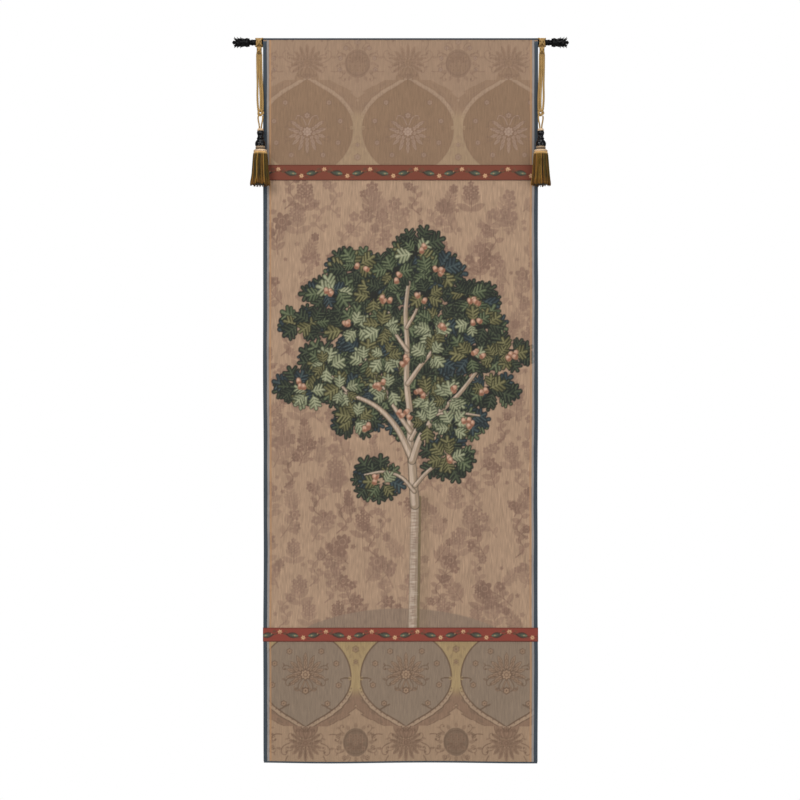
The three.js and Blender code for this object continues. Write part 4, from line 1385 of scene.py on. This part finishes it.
def drawRibbon(width, red, shift, cells):
    # red ground with pairs of leaves and small florets, high and low in turn
    look = ribbonDesign
    half = width / mm / 2
    picture = ClothPicture(-look["half"], look["half"], -half, half, cells, red)
    dark = tuple(v * look["vineShare"] for v in red)
    for k in range(-4, 5):
        x = shift + k * look["pitch"]
        stem = [(x - 60, 5), (x - 34, -1), (x, -5), (x + 34, -1), (x + 60, 5)]
        picture.line(stem, 1.8, dark, 1.8, 0.8)
        for hand in (-1, 1):
            for length, wide, tone in look["leaves"]:
                picture.stamp(x + hand * 13, -3, 40, leafShape(length, wide), tone, -hand * 1.45)
            for away, up, length, wide, turn, tone, strength in look["small"]:
                picture.stamp(x + hand * away, up, 12, leafShape(length, wide), tone, hand * turn, strength)
        for a, b in ((x, -half * 0.42), (x + look["pitch"] / 2, half * 0.42)):
            picture.stamp(a, b, 12, petals(6, 6.2, 0.46), look["petal"], 0.3)
            picture.stamp(a, b, 12, petals(6, 3.4, 0.3), look["petalLight"], 0.3)
            picture.stamp(a, b, 6, disc(1.5), look["eye"])
            for hand in (-1, 1):
                sepal = (a + hand * 9, b - hand * 2)
                picture.stamp(*sepal, 12, leafShape(10, 5), look["sepal"], -hand * 1.9, 0.8)
                picture.stamp(a + hand * 22, b * 0.3, 6, disc(1.8), look["berry"], 0, 0.8)
    for edge in (-half, half):
        rows = np.abs(picture.z - edge) < 1.6
        picture.tone[rows] = picture.tone[rows] * 0.25 + np.array(dark) * 0.75
    return picture


def flatNormals(path):
    # square to a path of two coordinates, turned to its left
    ahead = np.gradient(path, axis=0)
    ahead /= np.linalg.norm(ahead, axis=1)[:, None]
    return np.stack([-ahead[:, 1], ahead[:, 0]], -1)


def ribbon(name, node, top, width, red, shift):
    # its path runs across the front and round both side edges, clear of the edge tapes
    clear = panel["gap"] + panel["tapeThick"] + 0.15 * mm
    depthFront, depthBack = panel["front"] - clear, panel["back"] + clear
    thick, bend, cell = 0.7 * mm, 0.4 * mm, 1.3 * mm
    edge = panel["halfWidth"] + clear
    turn = [(edge - 4 * mm, depthBack), (edge - bend, depthBack), (edge, depthBack - bend),
            (edge, depthFront + bend), (edge - bend, depthFront)]
    line = [(-x, 0, y) for x, y in turn] + [(x, 0, y) for x, y in turn[::-1]]
    dense = []
    for a, b in zip(line[:-1], line[1:]):
        a, b = np.array(a), np.array(b)
        count = max(1, int(np.linalg.norm(b - a) / cell))
        dense += [a + (b - a) * k / count for k in range(count)]
    path = np.array([*dense, np.array(line[-1])])[:, [0, 2]]
    along = distances(path)
    out = -flatNormals(path)
    cells = (len(path) - 1, int(width / (1.25 * mm)))
    picture = drawRibbon(width, red, shift, cells)
    tone = picture.linear()
    share = (along - along[-1] / 2) / mm / (2 * ribbonDesign["half"]) + 0.5
    columns = np.clip(np.round(share * cells[0]), 0, cells[0]).astype(int)
    rings, colours = [], []
    levels = top - width / 2 + picture.z * mm
    for k in range(len(path)):
        outer = path[k] + out[k] * thick
        ring = [(outer[0], outer[1], z) for z in levels]
        ring += [(path[k][0], path[k][1], z) for z in (levels[-1], levels[-1] - width * 0.5, levels[0])]
        rings.append(ring)
        colours.append(np.vstack([tone[:, columns[k]], np.tile(colour(*red), (3, 1))]))
    rings = np.array(rings)
    strip = Parts()
    strip.addRings(warped(rings).reshape(rings.shape))
    made = newPiece(name, strip.points[0], strip.faces, panelPlace, ribbonCloth, "panel")
    addTint(made, np.concatenate(colours), "wovenDesign")
    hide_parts(node)


def lining():
    # plain cotton behind the cloth, with the seam allowance puckered a little
    half = panel["halfWidth"] - 9.3 * mm
    low, high = panel["foot"] + 3.9 * mm, -17 * mm
    y = panel["back"] + 0.35 * mm
    xs, zs = np.linspace(-half, half, 70), np.linspace(low, high, 180)
    points = []
    for thickness in (0.0, 0.9 * mm):
        for z in zs:
            for x in xs:
                rim = min(half - abs(x), z - low, high - z)
                pucker = 0.45 * mm * math.sin(x * 130 + z * 170) * math.exp(-rim / (9 * mm))
                points.append((x, y + thickness + abs(pucker) * (thickness > 0), z))
    n, m = len(xs), len(zs)
    grid = np.arange(n * m).reshape(m, n)
    front = gridFaces(grid)
    faces = [*front.tolist(), *(front[:, [0, 3, 2, 1]] + n * m).tolist()]
    loop = [*grid[0, :], *grid[1:, -1], *grid[-1, -2::-1], *grid[-2:0:-1, 0]]
    for a, b in zip(loop, loop[1:] + loop[:1]):
        faces.append([int(b), int(a), int(a) + n * m, int(b) + n * m])
    piece = newPiece("liningCloth", warped(points), faces, panelPlace, liningCloth, "panel")
    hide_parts("lining_cloth")


def rodSleeve():
    # a strip over the rod: from the panel's top edge, behind the rod and down to its seam
    inner = rodRadius + 0.3 * mm
    thick = 1.0 * mm
    seam = panel["back"] + 1.4 * mm
    line = [(panel["back"] + 1.0 * mm, inner)]
    line += [(inner * math.cos(a), inner * math.sin(a)) for a in np.radians(np.linspace(90, -35, 18))]
    line += [(seam + 4 * mm, -34 * mm), (seam + 0.6 * mm, -44 * mm), (seam, -50 * mm), (seam, -62 * mm)]
    path = smoothPath([(y, 0, z) for y, z in line], 2.2 * mm)[:, [0, 2]]
    out = flatNormals(path)
    rings = []
    for x in np.linspace(-312, 312, 140) * mm:
        # a little slack between the rod and the seam
        slack = 0.35 * mm * (1 + np.sin(x * 95 + path[:, 1] * 60))
        slack = slack * smoothStep(5 * mm, -5 * mm, path[:, 1]) * smoothStep(-60 * mm, -50 * mm, path[:, 1])
        outer = path + out * (thick + slack[:, None])
        rings.append([(x, y, z) for y, z in outer] + [(x, y, z) for y, z in path[::-1]])
    strip = Parts()
    strip.addRings(rings)
    piece = strip.piece("rodSleeve", panelPlace, liningCloth, "panel", "lining", "rod_sleeve")


wovenPanel()
edgeTapes()
for word, top, width, red, shift in ribbonDesign["places"]:
    ribbon(f"{word}RedRibbon", f"{word}_red_ribbon", top * mm, width * mm, red, shift)
lining()
rodSleeve()
print("panel made")


# ---- rod, finials and brackets ----
finial = dict(
    rodEnd=383 * mm,
    leaves=8,
    beads=16,
    # each tier of leaves: start, end, inner radius, outer radius, leaf width
    tiers=((20, 33, 8.4, 14.4, 8.4), (28, 41, 7.2, 14.4, 8.2), (36, 48.4, 6.2, 14.2, 8.0)),
    # turned outlines: distance out from the rod's end, radius
    collar=((0.35, 3.4), (0.35, 7.2), (1.0, 8.0), (2.0, 8.5), (3.2, 8.0), (4.0, 7.0), (5.4, 6.6), (6.6, 7.0),
            (7.2, 7.6), (7.25, 3.4)),
    cup=((7.6, 0.01), (7.6, 6.4), (8.6, 7.6), (10.5, 9.6), (13.5, 11.6), (16.5, 11.8), (19, 10.9), (22, 9.8),
         (27, 8.6), (33, 7.2), (40, 5.8), (45.5, 4.6), (46.4, 3.0), (46.5, 0.01)),
    tip=((46.9, 0.01), (46.9, 3.4), (48.0, 4.7), (49.4, 5.2), (51.2, 4.6), (52.6, 3.0), (53.6, 1.4),
         (54.2, 0.01)),
)


def rodTubePiece():
    tube = Parts()
    r, half = rodRadius, finial["rodEnd"]
    profile = [(r - 1 * mm, -half), (r - 0.3 * mm, -half), (r, -half + 0.3 * mm)]
    profile += [(r, x) for x in np.linspace(-half + 2 * mm, half - 2 * mm, 40)]
    profile += [(r, half - 0.3 * mm), (r - 0.3 * mm, half), (r - 1 * mm, half)]
    profile += [(r - 1 * mm, x) for x in np.linspace(half - 2 * mm, -half + 2 * mm, 12)]
    tube.addRings(alongRod(turnedRings(profile, 64)), looped=True)
    tube.piece("blackRod", rodPlace, iron, "rod", "black_iron", "rod_tube")


def curledLeaf(tier, k, side):
    # one leaf of the cup: it lies along the body, then turns out to a thin curled point
    start, end, low, high, width = tier
    turn = 2 * math.pi * (k + 0.5 * (tier is finial["tiers"][1])) / finial["leaves"]
    e = [start - 7, start, (start + end) / 2, end - 1.5, end + 0.4, end - 0.6]
    r = [low * 0.8, low + 0.8, (low + high) / 2 - 0.8, high - 1.9, high - 0.5, high + 0.4]
    path = smoothPath([(a, 0, b) for a, b in zip(e, r)], 0.9)[:, [0, 2]] * mm
    t = np.linspace(0, 1, len(path))
    wide = width / 2 * mm * np.clip(0.5 + 0.605 * np.sin(math.pi * t**0.8), 0.1, 1)
    wide = wide * np.sqrt(np.clip(1.03 - t**4, 0.02, 1))
    thin = 1.0 * mm * (1 - 0.6 * t)
    phi = np.arange(10) * 2 * math.pi / 10
    rings = []
    for p, u, w, h in zip(path, flatNormals(path), wide, thin):
        # a section that is thinner and hollowed towards its sides
        across, outer = w * np.cos(phi), np.cos(phi) ** 2
        lift = h * np.sin(phi) * (1 - 0.3 * outer) - 0.25 * w * outer
        along, away = p[0] + u[0] * lift, p[1] + u[1] * lift
        rings.append(np.stack([
            side * (finial["rodEnd"] + along), away * math.cos(turn) - across * math.sin(turn),
            away * math.sin(turn) + across * math.cos(turn)], -1))
    return np.array(rings)[::side]


def cupLeaves(cup, side):
    # tiers of leaves, and a row of beads round the shoulder
    for tier in finial["tiers"]:
        for k in range(finial["leaves"]):
            cup.addRings(curledLeaf(tier, k, side))
    size, radius, out = 1.5 * mm, 9.6 * mm, finial["rodEnd"] + 10.2 * mm
    bead = turnedRings([(size * math.sin(a), size * math.cos(a)) for a in np.linspace(0.05, 3.09, 7)], 10)
    for turn in np.arange(finial["beads"]) * 2 * math.pi / finial["beads"]:
        cup.addRings(bead + np.array([side * out, radius * math.cos(turn), radius * math.sin(turn)]))


def finials():
    for side, word in bothSides:
        for label, node in (("Collar", "collar"), ("Cup", "leaf_cup"), ("Tip", "tip")):
            shape = Parts()
            profile = [(r * mm, finial["rodEnd"] + e * mm) for e, r in finial[label.lower()]]
            shape.addRings(alongRod(turnedRings(roundedProfile(profile, 5), 64), side)[::side])
            if label == "Cup":
                cupLeaves(shape, side)
            shape.piece(f"{word}Finial{label}", rodPlace, iron, f"{word}_finial", "black_iron",
                        f"{word}_finial_{node}")


def finishNode(name, material):
    node = bpy.data.objects[name]
    for entry in node.material_slots:
        entry.material = material


rodTubePiece()
finials()
for _, word in bothSides:
    for part in ("wall_plate", "bracket_arm"):
        finishNode(f"{word}_{part}", iron)
    for part in ("rod_insert", "finial_stud"):
        finishNode(f"{word}_{part}", zinc)
print("rod and finials made")


# ---- gold cord and tassels ----
tassel = dict(
    wrapX=366.2 * mm,
    wrapCord=4.7 * mm,
    crossCord=4.6 * mm,
    crossReach=8.9 * mm,  # how far the crossing turns lie aside from the wrap's middle
    turns=4,
    bindingLevels=(-14.9, -18.0, -21.2, -24.4, -27.6, -30.6),
    bindingRoute=((-6.4, 1.5, -14.8), (-4.2, 4.2, -17), (0, 5.4, -21.5), (4.2, 4.4, -27), (6.4, 1.5, -30.5)),
    ringTop=-227 * mm,
    headTop=-233.3 * mm,
    bellTop=-254.6 * mm,
    collarTop=-272.9 * mm,
    # ropes of the collar: drop, radius, diameter, tint; the tint paints shade on the rope under the bell and
    # on the one tucked between the others
    collarRopes=((3.0, 9.8, 5.8, 0.55), (7.6, 10.6, 4.4, 0.2), (12.8, 14.3, 6.6, 1.0)),
    collarCore=((0.02, -14.8), (13.0, -14.6), (11.6, -9), (9.8, -4), (9.0, -0.8), (0.02, -0.6)),
    # turned outlines: radius, height from the top, how fluted
    head=((0.02, -20.9, 0), (8.4, -20.8, 0), (9.0, -18.8, 0.3), (7.7, -16.6, 0.5), (7.0, -13.6, 0.8),
          (7.6, -10.4, 1), (8.6, -7.4, 1), (8.9, -4.6, 0.8), (8.4, -2.4, 0.5), (7.4, -0.3, 0.2),
          (0.02, -0.1, 0)),
    bell=((0.02, -17.9, 0), (11.6, -17.8, 0), (13.2, -15.6, 0.3), (13.7, -12.4, 0.7), (13.1, -8.6, 1),
          (11.1, -4.8, 1), (8.8, -2.0, 0.6), (7.8, -0.3, 0.1), (0.02, -0.1, 0)),
)


def cordWrap(side, word):
    wraps = Parts()
    width = tassel["wrapCord"]
    radius = rodRadius + 0.2 * mm + width / 2
    t = np.linspace(0, 1, 400)
    angle = -math.pi / 2 + t * tassel["turns"] * 2 * math.pi
    x = tassel["wrapX"] + (t - 0.5) * (tassel["turns"] - 1) * width * 1.02
    helix = np.stack([side * x, radius * np.cos(angle), radius * np.sin(angle)], -1)
    wraps.addRings(ropeRings(evenPath(helix, 0.9 * mm), width, 3, 14 * mm, 0.22, 20, ends=2 * mm))
    t = np.linspace(-1, 1, 80)
    angle = math.pi + t * 2.2
    for hand in (-1, 1):
        # two turns laid crosswise over the front, tucked in below and behind
        lift = radius * 0.94 + (4.4 + 1.6 * (hand > 0)) * mm * np.cos(t * 1.56) ** 4
        x = tassel["wrapX"] + hand * tassel["crossReach"] * np.sin(t * 2.6) + 0.1 * mm
        path = evenPath(np.stack([side * x, lift * np.cos(angle), lift * np.sin(angle)], -1), 0.9 * mm)
        wraps.addRings(ropeRings(path, tassel["crossCord"], 3, 14 * mm, 0.24, 18, ends=2 * mm))
    wraps.piece(f"{word}CordWrap", rodPlace, goldThread, "cord_wraps", "gold_cord", f"{word}_cord_wrap")


def cordBinding(side, word):
    # hoops round the strands, with painted shade that darkens them downwards, and two crossing ropes in front
    winding = Parts()
    middle, y0 = side * tassel["wrapX"], -hang["strandOffset"]
    t = np.linspace(0, 2 * math.pi, 60, endpoint=False)
    for k, z in enumerate(tassel["bindingLevels"]):
        a, b = (5.3 - 0.25 * (k % 2)) * mm, 2.1 * mm
        loop = np.stack([middle + a * np.cos(t), y0 + b * np.sin(t), z * mm + 0.5 * mm * np.sin(t)], -1)
        rings = ropeRings(loop, 3.7 * mm, 3, 9 * mm, 0.22, 16, looped=True)
        # each lower hoop is tinted darker: painted shade
        winding.addRings(rings, looped=True, tint=1.0 - 0.13 * k)
    for hand in (-1, 1):
        # one of them lies over the other where they cross
        points = [(middle + hand * x * mm, y0 - (y + 0.5 * hand * (x == 0)) * mm, z * mm)
                  for x, y, z in tassel["bindingRoute"]]
        winding.addRings(ropeRings(smoothPath(points, 0.8 * mm), 3.6 * mm, 3, 9 * mm, 0.22, 16, ends=2 * mm))
    winding.piece(f"{word}CordBinding", cordPlace, goldThread, f"{word}_cord", "gold_cord",
                  f"{word}_cord_binding")


def tasselKnot(side, word):
    knot = Parts()
    t = np.linspace(0, 2 * math.pi, 220, endpoint=False)
    reach = (5.4 + 2.1 * np.cos(3 * t)) * mm
    loop = np.stack([side * cordX + reach * np.cos(2 * t), -hang["strandOffset"] + 2.7 * mm * np.sin(3 * t),
                     -hang["knotDrop"] + reach * np.sin(2 * t)], -1)
    knot.addRings(ropeRings(loop, 4.2 * mm, 3, 12 * mm, 0.22, 18, looped=True), looped=True)
    knot.piece(f"{word}TasselKnot", cordPlace, goldThread, f"{word}_cord", "gold_cord", f"{word}_tassel_knot")


def atTassel(side, rings):
    return np.asarray(rings) + np.array([side * cordX, -hang["strandOffset"], 0])


def ropeHoop(radius, z, diameter, twistLength, steps=90):
    t = np.linspace(0, 2 * math.pi, steps, endpoint=False)
    loop = np.stack([radius * np.cos(t), radius * np.sin(t), np.full_like(t, z)], -1)
    return ropeRings(loop, diameter, 3, twistLength, 0.22, 18, looped=True)


def tasselTop(side, word):
    body = f"{word}_tassel"
    ring = Parts()
    for drop, radius in ((1.9, 5.4), (4.5, 6.3)):
        rings = ropeHoop(radius * mm, tassel["ringTop"] - drop * mm, 3.9 * mm, 8 * mm, 60)
        ring.addRings(atTassel(side, rings), looped=True)
    ring.piece(f"{word}TasselTopRing", cordPlace, brightThread, body, "gold_cord", f"{word}_tassel_top_ring")
    collar = Parts()
    top = tassel["collarTop"]
    for drop, radius, diameter, tint in tassel["collarRopes"]:
        rings = ropeHoop(radius * mm, top - drop * mm, diameter * mm, 12 * mm)
        # the tint darkens the ropes under the bell and between the others: painted shade
        collar.addRings(atTassel(side, rings), looped=True, tint=tint)
    outline = roundedProfile([(r * mm, top + z * mm) for r, z in tassel["collarCore"]], 4)
    # the core under the ropes is tinted dark: painted shade
    collar.addRings(atTassel(side, turnedRings(outline, 40)), tint=0.25)
    collar.piece(f"{word}TasselCollar", cordPlace, brightThread, body, "gold_cord",
                 f"{word}_tassel_collar_ring")
    for label in ("Head", "Bell"):
        top = tassel[label.lower() + "Top"]
        points = np.array([(r * mm, top + z * mm, share) for r, z, share in tassel[label.lower()]])
        fine = smoothPath(points[:, [0, 2, 1]], 0.9 * mm)
        share = np.interp(np.linspace(0, 1, len(fine)), np.linspace(0, 1, len(points)), points[:, 2])
        profile = [(max(r, 1e-5), z, fluted) for (r, _, z), fluted in zip(fine, share)]
        turned = Parts()
        turned.addRings(atTassel(side, turnedRings(profile, 112, 14, 0.045)))
        turned.piece(f"{word}Tassel{label}", cordPlace, lacquer, body, "tassel_head",
                     f"{word}_tassel_{label.lower()}")
    core = Parts()
    path = np.array([(side * cordX, -hang["strandOffset"], z * mm) for z in np.linspace(-228.8, -300, 60)])
    core.addRings(ropeRings(path, 4.4 * mm, 3, 12 * mm, 0.2, 16, ends=2 * mm))
    core.piece(f"{word}TasselCore", cordPlace, goldThread, body, "gold_cord", f"{word}_tassel_core")


fringe = dict(
    top=-288.2 * mm,
    foot=-376.2 * mm,
    layers=((1.0, 74), (0.87, 50)),  # share of the reach, number of strands
    # the strands' levels below the top, and how far out they are there, in mm
    levels=(0.5, -2, -9, -28, -58),
    reach=(13.4, 16.8, 18.2, 19.6, 21.8, 24.9),
    around=9,
    # the body under the strands, painted dark as the shade inside the skirt: radius, height from the top
    core=((0.02, -85), (18.4, -84), (18.6, -76), (16.4, -40), (15.6, -14), (13.2, -2), (0.02, -1)),
    whole=(180, 150, 78),  # the tint that the colours are measured against
    palette=((124, 92, 34), (152, 112, 46), (88, 76, 26), (182, 146, 78), (104, 92, 34), (144, 100, 40),
             (56, 46, 16), (76, 58, 20)),
    # a painted highlight where the strands leave the collar
    topHighlight=(255, 216, 172),
    brown=(146, 100, 42),
)


def fringeTint(tone):
    return colour(*tone) / colour(*fringe["whole"])


def tasselSkirt(side, word, seed):
    chance = np.random.default_rng(seed)
    skirt = Parts()
    top, foot = fringe["top"], fringe["foot"]
    palette = [fringeTint(tone) for tone in fringe["palette"]]
    topHighlight, brown = fringeTint(fringe["topHighlight"]), fringeTint(fringe["brown"])
    core = roundedProfile([(r * mm, top + z * mm) for r, z in fringe["core"]], 5)
    # the core is tinted near black: painted shade between the strands
    skirt.addRings(atTassel(side, turnedRings(core, 40)), tint=0.15)
    for layer, count in fringe["layers"]:
        for k in range(count):
            turn = 2 * math.pi * (k + chance.uniform(-0.25, 0.25)) / count
            width = chance.uniform(1.9, 2.6) * mm
            end = foot + chance.uniform(0, 5) * mm + (1.5 * mm if layer < 1 else 0)
            kink = chance.normal(0, 0.03, 4)
            levels = (*fringe["levels"], (end - top) / mm)
            reach = np.array(fringe["reach"])
            reach[-1] += chance.uniform(-0.9, 1.0)
            sway = (0, 0, 0.02, kink[0], kink[1], kink[2] * 1.2)
            points = [(r * mm * math.cos(turn + a), r * mm * math.sin(turn + a), top + z * mm)
                      for r, a, z in zip(reach * layer, sway, levels)]
            path = smoothPath(points, 2.0 * mm)
            rings = ropeRings(path, width, 2, chance.uniform(6, 8) * mm, 0.26, fringe["around"])
            # thinner at both ends, with a painted highlight where it leaves the collar, and browner at its
            # foot
            t = np.linspace(0, 1, len(path))
            taper = (0.72 + 0.28 * smoothStep(0, 0.1, t)) * (1 - 0.25 * smoothStep(0.93, 1, t))
            rings = path[:, None, :] + (rings - path[:, None, :]) * taper[:, None, None]
            tint = palette[chance.integers(len(palette))] * chance.uniform(0.8, 1.2)
            tint = mixTone(tint, brown, 0.5 * smoothStep(0.72, 1.0, t))
            tint = mixTone(tint, topHighlight, np.clip(1 - (top - 2 * mm - path[:, 2]) / (5 * mm), 0, 1))
            skirt.addRings(atTassel(side, rings), tint=np.repeat(tint, fringe["around"], axis=0))
    skirt.piece(f"{word}TasselSkirt", cordPlace, fringeThread, f"{word}_tassel", "fringe",
                f"{word}_tassel_skirt")


for side, word in bothSides:
    cordWrap(side, word)
    cordBinding(side, word)
    tasselKnot(side, word)
    tasselTop(side, word)
    tasselSkirt(side, word, 7 + side)
print("tassels made")


# ---- light and floor ----
studio = dict(
    # name, place, size, power, tone
    lights=(
        ("keyLight", (-2.6, -4.6, 1.6), 2.6, 150.0, (1.0, 0.985, 0.96)),
        ("fillLight", (3.0, -4.4, 0.2), 3.2, 78.0, (0.97, 0.985, 1.0)),
        ("topLight", (0.0, -1.2, 2.9), 2.2, 36.0, (1.0, 1.0, 1.0)),
        ("backLight", (0.6, 3.4, 1.0), 2.6, 60.0, (1.0, 1.0, 1.0)),
    ),
    aim=(0.0, -0.06, -0.93),
    floor=-2.25,
    worldLight=0.2,
)


def studioLight(name, place, size, power, tone):
    light = bpy.data.lights.new(name, "AREA")
    light.shape = "DISK"
    light.size = size
    light.energy = power
    light.color = tone
    lamp = bpy.data.objects.new(name, light)
    aim = Matrix.Translation(studio["aim"]).to_translation() - Matrix.Translation(place).to_translation()
    lamp.location = place
    lamp.rotation_euler = aim.to_track_quat("-Z", "Y").to_euler()
    bpy.context.scene.collection.objects.link(lamp)


for values in studio["lights"]:
    studioLight(*values)

world = bpy.data.worlds.new("paleRoom")
bpy.context.scene.world = world
world.use_nodes = True
sky = world.node_tree
background = sky.nodes["Background"]
rays = sky.nodes.new("ShaderNodeLightPath")
mixed = sky.nodes.new("ShaderNodeMix")
mixed.data_type = "FLOAT"
mixed.inputs[2].default_value = studio["worldLight"]
mixed.inputs[3].default_value = 1.0
sky.links.new(rays.outputs["Is Camera Ray"], mixed.inputs[0])
sky.links.new(mixed.outputs[0], background.inputs["Strength"])
background.inputs["Color"].default_value = (1, 1, 1, 1)
bpy.context.scene.view_settings.view_transform = "Standard"

floorMaterial, _, floorShader = newMaterial("paleFloor", Roughness=0.85)
floorShader.inputs["Base Color"].default_value = rgba(236, 236, 234)
floorMesh = bpy.data.meshes.new("paleFloor")
z = studio["floor"]
floorMesh.from_pydata([(-2, -2.2, z), (2, -2.2, z), (2, 1.5, z), (-2, 1.5, z)], [], [(0, 1, 2, 3)])
floorMesh.materials.append(floorMaterial)
floor = bpy.data.objects.new("paleFloor", floorMesh)
bpy.context.scene.collection.objects.link(floor)
